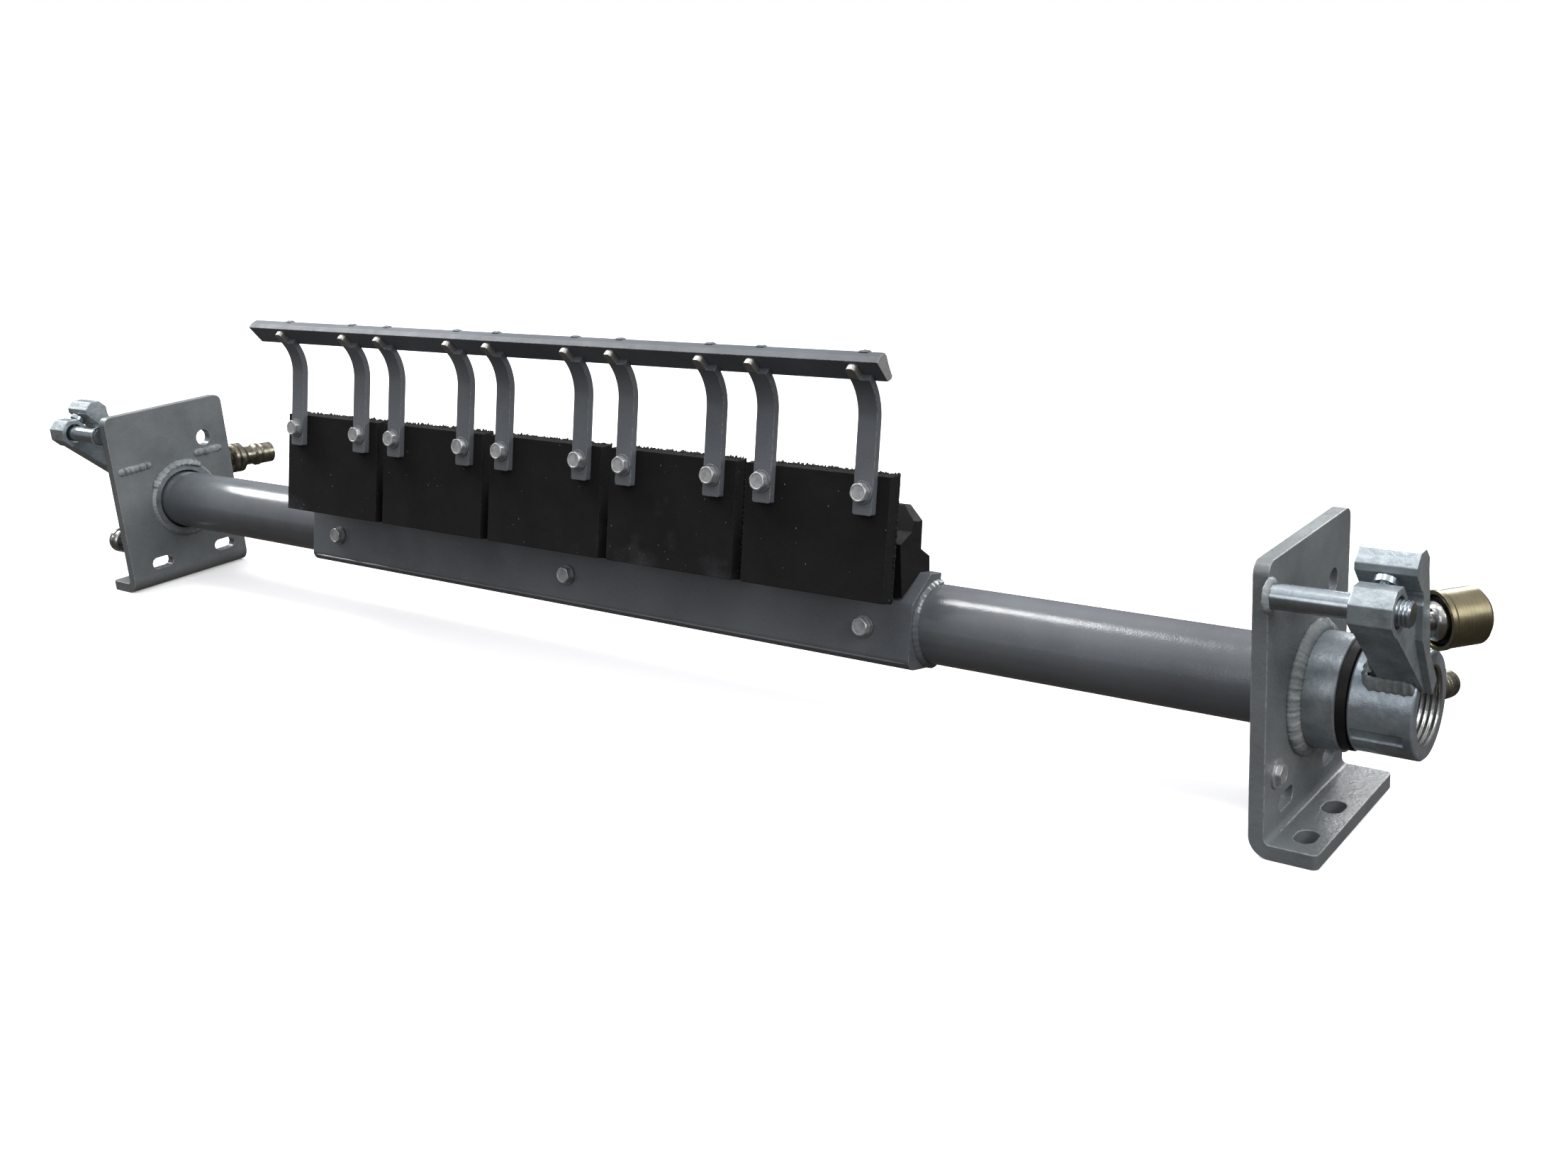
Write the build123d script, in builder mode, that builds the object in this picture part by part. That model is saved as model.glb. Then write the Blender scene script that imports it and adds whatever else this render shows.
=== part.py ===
from build123d import *
from math import atan2, cos, degrees, hypot, radians, sin
import os

os.makedirs("parts", exist_ok=True)

# Cross tube and its bearings
tube_diameter = 60.3
tube_wall = 3.65
running_gap = 0.08
axial_gap = 0.5
bush_wall = 3.8
bush_flange = 6.0
bush_flange_rim = 2.0
housing_wall = 4.0
housing_stand = 27.0
housing_inside = 2.5
housing_lip = 3.0
housing_edge = 0.8
lip_gap = 1.6
weld_gap = 0.05

# Side plates
plate_gap = 1245.0
plate_thick = 10.0
plate_front = 78.0
plate_rear = 63.5
plate_top = 104.5
plate_base = 88.0
plate_corner = 8.0
plate_bend = 14.0
flange_width = 44.0
round_hole_diameter = 17.0
round_hole_y = 34.0
round_hole_z = 61.5
web_slot_width = 12.0
web_slot_length = 25.0
web_slot_z = -61.5
web_slot_spacing = 78.0
web_slot_mid_y = -2.0
flange_slot_width = 14.0
flange_slot_length = 20.0
flange_slot_spacing = 49.0
flange_slot_mid_y = -31.0
flange_slot_x = 19.0

# Small fittings: bolt and knob low on the plates, grease nipples
fitting_y = -58.0
fitting_z = -37.5
fitting_depth = 8.0
fitting_washer = 20.0
knob_shaft = 12.0
knob_diameter = 26.0
knob_reach = 42.0
knob_head = 16.0
nipple_stand = 16.0
nipple_z = 30.0
nipple_turn = 4.0
nipple_drop = 3.0
nipple_reach = 127.0
nipple_head = 52.0
nipple_flange = 33.0
nipple_neck = 21.0
hub_nipple_offset = 26.5
hub_nipple_angle = -6.0
hub_nipple_tilt = 18.0
hub_nipple_diameter = 19.0
hub_nipple_length = 30.0
hub_nipple_root = 6.0

# Threaded hub on each tube end
hub_wall = 4.85
hub_length = 40.0
hub_tube_seat = 14.0
hub_shoulder = 5.35
hub_thread_depth = 1.4
hub_thread_count = 6
hub_flat_depth = 1.6
hub_flat_angle = 203.0
hub_flat_width = 8.0
hub_edge = 1.2
thread_relief = 1.0

# Anchor stud, lever head and set screw
anchor_y = -78.0
anchor_z = 85.0
anchor_diameter = 16.0
anchor_play = 2.0
anchor_length = 83.5
anchor_thread = 14.0
anchor_thread_count = 5
anchor_thread_depth = 0.75
lug_offset = 11.5
lug_length = 35.5
barrel_offset = 17.5
barrel_length = 25.0
barrel_radius = 14.0
lug_radius = 12.0
facets = 8
lug_turn = 15.4
lever_sink = 8.0
jaw_gap = 8.6
jaw_depth = 22.0
barrel_land = 3.5
screw_diameter = 8.0
screw_head_diameter = 15.5
screw_head_height = 4.0
screw_travel = 2.0

# Buffer on the rear of each lever
buffer_turn = 39.0
buffer_offset = 47.0
buffer_y = -18.0
buffer_z = 62.6
sleeve_radius = 17.8
sleeve_length = 27.0
sleeve_end = 3.0
sleeve_bead = 0.6
sleeve_lap = 2.0
ring_thick = 6.4
ring_length = 11.0
ring_stand = 0.3
stud_core = 9.0
stud_rim = 12.6
stud_neck = 7.0
stud_shank = 6.0
stud_root = 24.0

# Blade frame, which leans back about the tube axis
lean = 12.0
module_count = 5
pad_width = 130.2
pad_gap = 9.8
pad_thick = 12.4
pad_face = 68.8
pad_bottom = 19.8
pad_top = 110.4
pad_slant = 1.5
block_inset = 5.6
column_front = 42.0
column_top = 60.6
column_foot = 20.8
notch_rear = 28.4
notch_top = 68.9
upright_front = 23.3
upright_rear = 14.5
upright_top = 88.0
upright_corner = 11.0
step_rear = 13.5
step_top = 56.0
heel_rear = 1.0
heel_top = 50.0
pivot_y = -54.0
pivot_z = 48.0
pivot_radius = 6.0
pivot_gap = 0.3
neck_thick = 9.0
neck_root = 38.0
neck_inset = 7.5

# Saddle on the tube
saddle_inset = 1.0
saddle_plate = 5.0
saddle_stand = 5.35
saddle_under = 2.25
saddle_rise = 8.35
saddle_rear = 2.0
saddle_underside = 10.0
saddle_slope_foot = 17.0
saddle_slope_top = 12.5
saddle_round = 8.0
saddle_bolt_inset = 41.0
saddle_bolt_z = -4.4

# Spring arms and blade bar
arm_inset = 19.5
arm_width = 16.5
arm_thick = 5.4
arm_foot = 82.0
arm_straight_end = 149.0
arm_bend_radius = 40.0
arm_bend_angle = 50.0
arm_nose = 10.5
arm_nose_round = 3.0
arm_nose_width = 8.0
arm_taper = 11.0
arm_foot_round = 1.5
arm_bolt_z = 98.2
bar_over_left = 26.0
bar_short_right = 6.4
bar_lift = 0.05
bar_width = 22.4
bar_thick = 11.3

# Fasteners
bolt_diameter = 8.0
bolt_across_flats = 13.0
bolt_head_height = 5.5
nut_height = 6.5
bolt_end = 2.0
washer_diameter = 17.0
washer_thick = 1.6
hole_gap = 0.3

# Sizes worked out from the above
tube_r = tube_diameter / 2
hub_diameter = tube_diameter + 2 * hub_wall
hub_bore_diameter = tube_diameter - 2 * hub_shoulder
saddle_front = tube_r + saddle_stand
saddle_bottom = tube_r + saddle_under
saddle_seat = tube_r + saddle_rise
bush_r = tube_r + running_gap + bush_wall
housing_r = bush_r + housing_wall
plate_inner_x = plate_gap / 2
plate_outer_x = plate_inner_x + plate_thick
housing_end_x = plate_outer_x + housing_stand
hub_x = housing_end_x + bush_flange + axial_gap
hub_end_x = hub_x + hub_length
tube_end_x = hub_x + hub_tube_seat
lug_x = hub_x + lug_offset
barrel_x = hub_x + barrel_offset
screw_x = barrel_x + barrel_length / 2
anchor_r = anchor_diameter / 2
anchor_radius = hypot(anchor_y, anchor_z)
anchor_angle = degrees(atan2(anchor_z, anchor_y))
barrel_bore_r = anchor_r + anchor_play
hex_radius = bolt_across_flats / 2 / cos(radians(30))
lean_cos = cos(radians(lean))
lean_sin = sin(radians(lean))
pad_back = pad_face - pad_thick
module_pitch = pad_width + pad_gap
blade_half = module_count * module_pitch / 2
block_half = pad_width / 2 - block_inset
neck_width = 2 * (block_half - neck_inset)
arm_spacing = pad_width - 2 * arm_inset
saddle_half = blade_half - saddle_inset
saddle_bolt_pitch = saddle_half - saddle_bolt_inset
bar_left = blade_half + bar_over_left
bar_right = blade_half - bar_short_right
module_x = [(n - (module_count - 1) / 2) * module_pitch for n in range(module_count)]
arm_x = [x + side * arm_spacing / 2 for x in module_x for side in (-1, 1)]
sides = (("left", -1), ("right", 1))


def polar(radius, angle):
    # Point in the YZ plane at an angle from the +Y axis
    return (radius * cos(radians(angle)), radius * sin(radians(angle)))


def section_plane(x_near, x_far, side):
    # Plane across the tube axis from which a piece on one side is extruded towards +X
    return Plane(origin=(min(side * x_near, side * x_far), 0, 0), x_dir=(0, 1, 0), z_dir=(1, 0, 0))


def lean_section(x):
    # The same kind of plane, turned with the blade frame
    return Plane(origin=(x, 0, 0), x_dir=(0, lean_cos, -lean_sin), z_dir=(1, 0, 0))


def lean_point(x, y, z):
    # Point of the blade frame in the part's own frame
    return (x, y * lean_cos + z * lean_sin, z * lean_cos - y * lean_sin)


def lean_face(x, y, z):
    # Plane in the blade frame that faces forward, away from the tube
    return Plane(origin=lean_point(x, y, z), x_dir=(1, 0, 0), z_dir=(0, -lean_cos, lean_sin))


def save(piece, name):
    piece.part.label = name
    export_step(piece.part, f"parts/{name}.step")


# Side plates with their slots and holes
def make_side_plate(side):
    with BuildPart() as plate:
        with BuildSketch(Plane.XZ.offset(-plate_rear)):
            with BuildLine():
                inner = side * plate_inner_x
                outer = side * plate_outer_x
                tip = side * (plate_inner_x + flange_width)
                shelf = plate_thick - plate_base
                Polyline((inner, -plate_base), (tip, -plate_base), (tip, shelf), (outer, shelf),
                         (outer, plate_top), (inner, plate_top), close=True)
            make_face()
            fillet(vertices().sort_by_distance((inner, -plate_base))[0], plate_bend)
            fillet(vertices().sort_by_distance((outer, shelf))[0], plate_bend - plate_thick)
        extrude(amount=plate_front + plate_rear)
        top_corners = plate.edges().filter_by(Axis.X).group_by(Axis.Z)[-1]
        fillet(top_corners, plate_corner)
        flange_corners = plate.edges().filter_by(Axis.Z).group_by(SortBy.LENGTH)[0]
        fillet(flange_corners, plate_corner / 2)
        with BuildSketch(section_plane(plate_inner_x, plate_outer_x, side)):
            Circle(housing_r + weld_gap)
            with Locations((round_hole_y, round_hole_z)):
                Circle(round_hole_diameter / 2)
            with Locations((web_slot_mid_y, web_slot_z)):
                with GridLocations(web_slot_spacing, 1, 2, 1):
                    SlotOverall(web_slot_length, web_slot_width)
        extrude(amount=plate_thick, mode=Mode.SUBTRACT)
        with BuildSketch(section_plane(plate_outer_x - fitting_depth, plate_outer_x, side)):
            with Locations((fitting_y, fitting_z)):
                Circle(bolt_diameter / 2 + weld_gap)
        extrude(amount=fitting_depth, mode=Mode.SUBTRACT)
        with BuildSketch(Plane.XY.offset(-plate_base)):
            with Locations((side * (plate_outer_x + flange_slot_x), flange_slot_mid_y)):
                with GridLocations(1, flange_slot_spacing, 1, 2):
                    SlotOverall(flange_slot_length, flange_slot_width, rotation=90)
        extrude(amount=plate_thick, mode=Mode.SUBTRACT)
    return plate


# Bush housing: a short tube through the plate with a thin lip on the inner side
def make_housing(side):
    start = plate_inner_x - housing_inside
    with BuildPart() as housing:
        with BuildSketch(section_plane(start, housing_end_x, side)):
            Circle(housing_r)
            Circle(bush_r + weld_gap, mode=Mode.SUBTRACT)
        extrude(amount=housing_end_x - start)
        with BuildSketch(section_plane(start, start + housing_lip, side)):
            Circle(housing_r)
            Circle(tube_r + lip_gap, mode=Mode.SUBTRACT)
        extrude(amount=housing_lip)
        rims = housing.edges().filter_by(GeomType.CIRCLE)
        end = rims.group_by(Axis.X)[-1 if side > 0 else 0]
        chamfer(end, housing_edge)
    return housing


# Polymer bush with the flange that shows between the housing and the hub
def make_bush(side):
    start = plate_inner_x - housing_inside + housing_lip + weld_gap
    with BuildPart() as bush:
        with BuildSketch(section_plane(start, housing_end_x, side)):
            Circle(bush_r)
        extrude(amount=housing_end_x - start)
        with BuildSketch(section_plane(housing_end_x, housing_end_x + bush_flange, side)):
            Circle(bush_r + bush_flange_rim)
        extrude(amount=bush_flange)
        with BuildSketch(section_plane(start, housing_end_x + bush_flange, side)):
            Circle(tube_r + running_gap)
        extrude(amount=housing_end_x + bush_flange - start, mode=Mode.SUBTRACT)
    return bush


# Hub: a socket on the tube end whose outer half is threaded inside
def make_hub(side):
    thread_start = tube_end_x + thread_relief
    thread_pitch = (hub_end_x - thread_start) / (hub_thread_count + 1)
    with BuildPart() as hub:
        with BuildSketch(section_plane(hub_x, hub_end_x, side)):
            Circle(hub_diameter / 2)
            Circle(hub_bore_diameter / 2, mode=Mode.SUBTRACT)
        extrude(amount=hub_length)
        chamfer(hub.edges().filter_by(GeomType.CIRCLE), hub_edge)
        with BuildSketch(section_plane(hub_x, tube_end_x, side)):
            Circle(tube_r + weld_gap)
        extrude(amount=hub_tube_seat, mode=Mode.SUBTRACT)
        with BuildSketch(Plane.XY):
            for turn in range(hub_thread_count):
                with Locations((side * (thread_start + (turn + 1) * thread_pitch), hub_bore_diameter / 2)):
                    Rectangle(hub_thread_depth * 1.5, hub_thread_depth * 1.5, rotation=45)
        revolve(axis=Axis.X, mode=Mode.SUBTRACT)
        flat_y, flat_z = polar(hub_diameter / 2 - hub_flat_depth, hub_flat_angle)
        flat_normal = (0, *polar(1, hub_flat_angle))
        with BuildSketch(Plane(origin=(side * (hub_x + hub_length * 0.45), flat_y, flat_z), x_dir=(1, 0, 0),
                               z_dir=flat_normal)):
            Rectangle(hub_length * 0.8, hub_flat_width)
        extrude(amount=hub_flat_depth * 2, mode=Mode.SUBTRACT)
    return hub


# Anchor stud: a smooth rod from the plate with a short thread at its free end
def make_anchor(side):
    end_x = plate_outer_x + anchor_length
    pitch = anchor_thread / (anchor_thread_count + 1)
    with BuildPart() as anchor:
        with BuildSketch(section_plane(plate_outer_x, end_x, side)):
            with Locations((anchor_y, anchor_z)):
                Circle(anchor_r)
        extrude(amount=anchor_length)
        tip = anchor.edges().filter_by(GeomType.CIRCLE).group_by(Axis.X)[-1 if side > 0 else 0]
        chamfer(tip, hub_edge)
        with BuildSketch(Plane(origin=(0, anchor_y, anchor_z), x_dir=(1, 0, 0), z_dir=(0, 0, 1))):
            for turn in range(anchor_thread_count):
                with Locations((side * (end_x - (turn + 1) * pitch), anchor_r)):
                    Rectangle(anchor_thread_depth * 1.5, anchor_thread_depth * 1.5, rotation=45)
        revolve(axis=Axis((0, anchor_y, anchor_z), (1, 0, 0)), mode=Mode.SUBTRACT)
    return anchor


def jaw_plane(x, along):
    # Plane square to the set screw, at a distance along its axis from the anchor stud
    step_y, step_z = polar(along, anchor_angle - 90)
    return Plane(origin=(x, anchor_y + step_y, anchor_z + step_z), x_dir=(1, 0, 0),
                 z_dir=(0, *polar(1, anchor_angle - 90)))


def buffer_axis(side):
    return (side * sin(radians(buffer_turn)), cos(radians(buffer_turn)), 0)


def buffer_origin(side):
    return (side * (hub_x + buffer_offset), buffer_y, buffer_z)


def buffer_plane(side):
    # Plane through the buffer's axis: local x runs along it, local y is the radius
    return Plane(origin=buffer_origin(side), x_dir=buffer_axis(side),
                 z_dir=(-side * cos(radians(buffer_turn)), sin(radians(buffer_turn)), 0))


# Lever: a cast arm with the eight-sided barrel round the stud and the lug above it
def make_lever(side):
    lug = polar(anchor_radius, anchor_angle - lug_turn)
    web_front = polar(anchor_radius - barrel_radius / 5, anchor_angle + 6.4)
    arm_back = polar(anchor_radius * 0.7, anchor_angle - 16.9)
    arm_root = polar(anchor_radius * 0.48, anchor_angle - 9.4)
    root_front = polar(hub_diameter / 2 - lever_sink, anchor_angle + 10)
    root_back = polar(hub_diameter / 2 - lever_sink, anchor_angle - 12)
    arm_front = polar(anchor_radius * 0.65, anchor_angle - 4)
    lug_step = polar(lug_radius, anchor_angle - lug_turn - 90)
    lug_back = (lug[0] + lug_step[0], lug[1] + lug_step[1])
    jaw_mid = barrel_bore_r + barrel_land + jaw_gap / 2
    with BuildPart() as lever:
        with BuildSketch(section_plane(barrel_x, barrel_x + barrel_length, side)):
            with BuildLine():
                Polyline(root_front, web_front, (anchor_y, anchor_z), arm_back, arm_root, root_back,
                         close=True)
            make_face()
            with Locations((anchor_y, anchor_z)):
                RegularPolygon(barrel_radius, facets, major_radius=False, rotation=180 / facets)
        extrude(amount=barrel_length)
        with BuildSketch(section_plane(lug_x, lug_x + lug_length, side)):
            with BuildLine():
                Polyline(lug, lug_back, arm_back, arm_root, root_back, root_front, arm_front, close=True)
            make_face()
            with Locations(lug):
                RegularPolygon(lug_radius, facets, major_radius=False, rotation=180 / facets)
        extrude(amount=lug_length)
        with BuildSketch(section_plane(hub_x, hub_end_x, side)):
            Circle(hub_diameter / 2 + weld_gap)
        extrude(amount=hub_length, mode=Mode.SUBTRACT)
        with BuildSketch(section_plane(lug_x, lug_x + lug_length, side)):
            step_y, step_z = polar(jaw_mid, anchor_angle - 90)
            with Locations((anchor_y + step_y, anchor_z + step_z)):
                with PolarLocations(jaw_depth, 1, start_angle=anchor_angle):
                    SlotOverall(4 * jaw_depth, jaw_gap)
            with Locations((anchor_y, anchor_z)):
                Circle(barrel_bore_r)
        extrude(amount=lug_length, mode=Mode.SUBTRACT)
        with BuildSketch(jaw_plane(side * screw_x, anchor_r)):
            Circle(screw_diameter / 2 + running_gap)
        extrude(amount=jaw_mid - anchor_r, mode=Mode.SUBTRACT)
        stud_plane = Plane(origin=buffer_origin(side), x_dir=(0, 0, 1), z_dir=buffer_axis(side))
        with BuildSketch(stud_plane.offset(-stud_root)):
            Circle(stud_shank + weld_gap)
        extrude(amount=stud_root, mode=Mode.SUBTRACT)
    return lever


# Set screw between the jaws: its tip bears on the anchor stud
def make_set_screw(side):
    with BuildPart() as screw:
        with BuildSketch(jaw_plane(side * screw_x, anchor_r + pivot_gap / 3)):
            Circle(screw_diameter / 2)
        head_start = barrel_bore_r + barrel_land + screw_travel
        extrude(amount=head_start - anchor_r)
        with BuildSketch(jaw_plane(side * screw_x, head_start)):
            Circle(screw_head_diameter / 2)
        extrude(amount=screw_head_height)
    return screw


# Buffer: ball stud, rubber ring and the brass sleeve that slides over the ring
def make_ball_stud(side):
    collar = (stud_core + stud_rim) / 2 - stud_shank / 4
    bulge = (1 - stud_neck * 2 / 3, stud_rim - sleeve_bead)
    core_end = ring_length + sleeve_end
    with BuildPart() as stud:
        with BuildSketch(buffer_plane(side)):
            with BuildLine():
                Polyline((-stud_root, 0), (-stud_root, stud_shank), (-stud_neck, stud_shank),
                         (-stud_neck, collar))
                ThreePointArc((-stud_neck, collar), bulge, (-1, stud_rim))
                Polyline((-1, stud_rim), (0, stud_rim), (0, stud_core), (core_end, stud_core),
                         (core_end, 0), (-stud_root, 0))
            make_face()
        revolve(axis=Axis(buffer_origin(side), buffer_axis(side)))
    return stud


def make_buffer_ring(side):
    with BuildPart() as ring:
        with BuildSketch(buffer_plane(side)):
            with Locations((ring_stand, stud_core + weld_gap)):
                Rectangle(ring_length, ring_thick, align=(Align.MIN, Align.MIN))
        revolve(axis=Axis(buffer_origin(side), buffer_axis(side)))
        chamfer(ring.edges().filter_by(GeomType.CIRCLE).sort_by(SortBy.RADIUS)[-2:], 1)
    return ring


def make_sleeve(side):
    bore = stud_core + weld_gap + ring_thick + running_gap
    rim = sleeve_radius + sleeve_bead
    floor = sleeve_length - sleeve_end
    with BuildPart() as sleeve:
        with BuildSketch(buffer_plane(side)):
            with BuildLine():
                Polyline((-sleeve_lap, bore + sleeve_bead), (-sleeve_lap, rim), (1, rim), (2, sleeve_radius),
                         (floor, sleeve_radius), (sleeve_length, sleeve_radius - sleeve_end),
                         (sleeve_length, 0), (floor, 0), (floor, bore), (-sleeve_lap / 2, bore), close=True)
            make_face()
        revolve(axis=Axis(buffer_origin(side), buffer_axis(side)))
    return sleeve


# Low on the plates: a hexagon bolt with a washer on the right, a grooved knob on the left
def make_corner_bolt():
    face = plate_outer_x + washer_thick
    with BuildPart() as bolt:
        with BuildSketch(section_plane(face, face + bolt_head_height, 1)):
            with Locations((fitting_y, fitting_z)):
                RegularPolygon(hex_radius, 6)
        extrude(amount=bolt_head_height)
        with BuildSketch(section_plane(plate_outer_x - fitting_depth, face, 1)):
            with Locations((fitting_y, fitting_z)):
                Circle(bolt_diameter / 2)
        extrude(amount=fitting_depth + washer_thick)
        with BuildSketch(section_plane(plate_outer_x, face, 1)):
            with Locations((fitting_y, fitting_z)):
                Circle(fitting_washer / 2)
        extrude(amount=washer_thick)
    return bolt


def make_stop_knob():
    rim = knob_diameter / 2
    neck = knob_shaft / 2
    screw = bolt_diameter / 2
    head = knob_reach - knob_head
    part = knob_head / 16
    centre = (-plate_outer_x, fitting_y, fitting_z)
    with BuildPart() as knob:
        with BuildSketch(Plane(origin=centre, x_dir=(-1, 0, 0), z_dir=(0, 0, 1))):
            with BuildLine():
                Polyline((-fitting_depth, 0), (-fitting_depth, screw), (0, screw), (0, neck), (head, neck),
                         (head, rim - 1.5 * part), (head + 1.5 * part, rim), (head + 5 * part, rim),
                         (head + 6 * part, rim - 2 * part), (head + 8 * part, rim - 2 * part),
                         (head + 9 * part, rim), (knob_reach - 3 * part, rim))
                ThreePointArc((knob_reach - 3 * part, rim), (knob_reach - part, rim - 1.2 * part),
                              (knob_reach, rim - 4 * part))
                Polyline((knob_reach, rim - 4 * part), (knob_reach, 0), (-fitting_depth, 0))
            make_face()
        revolve(axis=Axis(centre, (-1, 0, 0)))
    return knob


# Extended grease nipple on the rear of the left housing
def make_grease_nipple():
    rim = nipple_flange / 2
    neck = nipple_neck / 2
    stem = neck - 2
    part = nipple_head / 26
    start = nipple_reach - nipple_head
    drop = radians(nipple_drop)
    turn = radians(nipple_turn)
    origin = (-plate_outer_x - nipple_stand, 0, nipple_z)
    axis_dir = (sin(turn), cos(turn) * cos(drop), -sin(drop))
    with BuildPart() as nipple:
        with BuildSketch(Plane(origin=origin, x_dir=axis_dir, z_dir=(0, sin(drop), cos(drop)))):
            with BuildLine():
                Polyline((housing_r / 2, 0), (housing_r / 2, stem), (start, stem), (start, rim - part),
                         (start + part, rim), (start + 2.5 * part, rim), (start + 3.2 * part, rim - part),
                         (start + 4 * part, rim), (start + 6.5 * part, rim),
                         (start + 7.5 * part, rim - 1.5 * part), (start + 8.5 * part, neck + part),
                         (start + 9.5 * part, neck),
                         (start + 14 * part, neck), (start + 15.5 * part, neck + part),
                         (start + 17.5 * part, neck + part), (start + 18.5 * part, neck),
                         (start + 19.5 * part, neck + part / 2), (nipple_reach, neck + part / 2),
                         (nipple_reach, 0), close=True)
            make_face()
        revolve(axis=Axis(origin, axis_dir))
        fillet(nipple.edges().filter_by(GeomType.CIRCLE).sort_by(Axis.Y)[-1], neck - part / 4)
        with BuildSketch(section_plane(plate_outer_x, housing_end_x, -1)):
            Circle(housing_r + weld_gap)
        extrude(amount=housing_stand, mode=Mode.SUBTRACT)
    return nipple


# Short nipple on the rear of the right hub
def make_hub_nipple():
    normal = (0, *polar(1, hub_nipple_angle))
    foot_y, foot_z = polar(hub_diameter / 2, hub_nipple_angle)
    axis_dir = (sin(radians(hub_nipple_tilt)), cos(radians(hub_nipple_tilt)) * normal[1],
                cos(radians(hub_nipple_tilt)) * normal[2])
    origin = (hub_x + hub_nipple_offset, foot_y, foot_z)
    body = hub_nipple_diameter / 2
    length = hub_nipple_length
    with BuildPart() as nipple:
        with BuildSketch(Plane(origin=origin, x_dir=axis_dir, z_dir=(0, -normal[2], normal[1]))):
            with BuildLine():
                Polyline((-hub_nipple_root, 0), (-hub_nipple_root, body), (length * 0.35, body),
                         (length * 0.4, body * 0.84), (length * 0.5, body * 0.84), (length * 0.55, body),
                         (length, body), (length, 0), close=True)
            make_face()
        revolve(axis=Axis(origin, axis_dir))
        fillet(nipple.edges().filter_by(GeomType.CIRCLE).sort_by(Axis.Y)[-1], body * 0.8)
        with BuildSketch(section_plane(hub_x, hub_end_x, 1)):
            Circle(hub_diameter / 2 + weld_gap)
        extrude(amount=hub_length, mode=Mode.SUBTRACT)
    return nipple


save(make_corner_bolt(), "corner_bolt_right")
save(make_stop_knob(), "stop_knob_left")
save(make_grease_nipple(), "grease_nipple_left")
save(make_hub_nipple(), "hub_nipple_right")

for side_name, side_sign in sides:
    save(make_side_plate(side_sign), f"side_plate_{side_name}")
    save(make_housing(side_sign), f"bush_housing_{side_name}")
    save(make_bush(side_sign), f"polymer_bush_{side_name}")
    save(make_hub(side_sign), f"threaded_hub_{side_name}")
    save(make_anchor(side_sign), f"anchor_stud_{side_name}")
    save(make_lever(side_sign), f"tension_lever_{side_name}")
    save(make_set_screw(side_sign), f"set_screw_{side_name}")
    save(make_ball_stud(side_sign), f"ball_stud_{side_name}")
    save(make_buffer_ring(side_sign), f"buffer_ring_{side_name}")
    save(make_sleeve(side_sign), f"buffer_sleeve_{side_name}")

# Cross tube with the tapped holes for the saddle bolts
with BuildPart() as tube:
    with BuildSketch(section_plane(-tube_end_x, tube_end_x, 1)):
        Circle(tube_r)
        Circle(tube_r - tube_wall, mode=Mode.SUBTRACT)
    extrude(amount=2 * tube_end_x)
    with BuildSketch(lean_face(0, 0, saddle_bolt_z)):
        with GridLocations(saddle_bolt_pitch, 1, 3, 1):
            Circle(bolt_diameter / 2 + weld_gap)
    extrude(amount=tube_r, mode=Mode.SUBTRACT)
save(tube, "cross_tube")


# Saddle: a folded plate round the front of the tube, closed at both ends
def saddle_outline(inset):
    front = inset - saddle_front
    bottom = inset - saddle_bottom
    seat = saddle_seat - inset
    slope_top = inset / 3 - saddle_slope_top
    slope_foot = saddle_slope_foot - inset / 3
    return [(saddle_rear, 0), (saddle_rear, seat), (slope_top, seat), (front, slope_foot), (front, bottom),
            (-saddle_underside, bottom), (-saddle_underside, 0)]


with BuildPart() as saddle:
    with BuildSketch(lean_section(-saddle_half)):
        with BuildLine():
            Polyline(*saddle_outline(0), close=True)
        make_face()
        fillet(vertices().sort_by_distance((-saddle_front, -saddle_bottom))[0], saddle_round)
        fillet(vertices().sort_by_distance((-saddle_front, saddle_slope_foot))[0], saddle_round * 0.75)
        fillet(vertices().sort_by_distance((-saddle_slope_top, saddle_seat))[0], saddle_round * 0.4)
    extrude(amount=2 * saddle_half)
    with BuildSketch(lean_section(saddle_plate - saddle_half)):
        with BuildLine():
            Polyline(*saddle_outline(saddle_plate), close=True)
        make_face()
    extrude(amount=2 * (saddle_half - saddle_plate), mode=Mode.SUBTRACT)
    with BuildSketch(lean_section(-saddle_half)):
        Circle(tube_r + weld_gap)
    extrude(amount=2 * saddle_half, mode=Mode.SUBTRACT)
    with BuildSketch(lean_face(0, 0, saddle_bolt_z)):
        with GridLocations(saddle_bolt_pitch, 1, 3, 1):
            Circle(bolt_diameter / 2 + hole_gap)
    extrude(amount=saddle_front + 1, mode=Mode.SUBTRACT)
save(saddle, "mounting_saddle")


# Rubber spring block: a foot on the saddle, an upright behind and a rounded neck in front
def make_spring_block(x):
    seat = saddle_seat + weld_gap
    with BuildPart() as block:
        with BuildSketch(lean_section(x - block_half)):
            with BuildLine():
                Polyline((weld_gap - saddle_front, column_foot), (-column_front, column_top),
                         (-notch_rear, notch_top), (-upright_front, upright_top),
                         (-upright_rear, upright_top), (-step_rear, step_top), (-heel_rear, heel_top),
                         (heel_rear / 2, seat), (-saddle_slope_top, seat), close=True)
            make_face()
        extrude(amount=2 * block_half)
        ears = block.edges().filter_by(lambda e: abs(e.length - upright_front + upright_rear) < weld_gap)
        chamfer(ears.sort_by(Axis.Z)[-2:], length=upright_corner)
        with BuildSketch(lean_section(x - neck_width / 2)):
            with Locations(((pivot_y - neck_root) / 2, pivot_z)):
                Rectangle(-pivot_y - neck_root, neck_thick, align=(Align.CENTER, Align.CENTER))
            with Locations((pivot_y, pivot_z)):
                Circle(pivot_radius)
        extrude(amount=neck_width)
    return block


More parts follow.
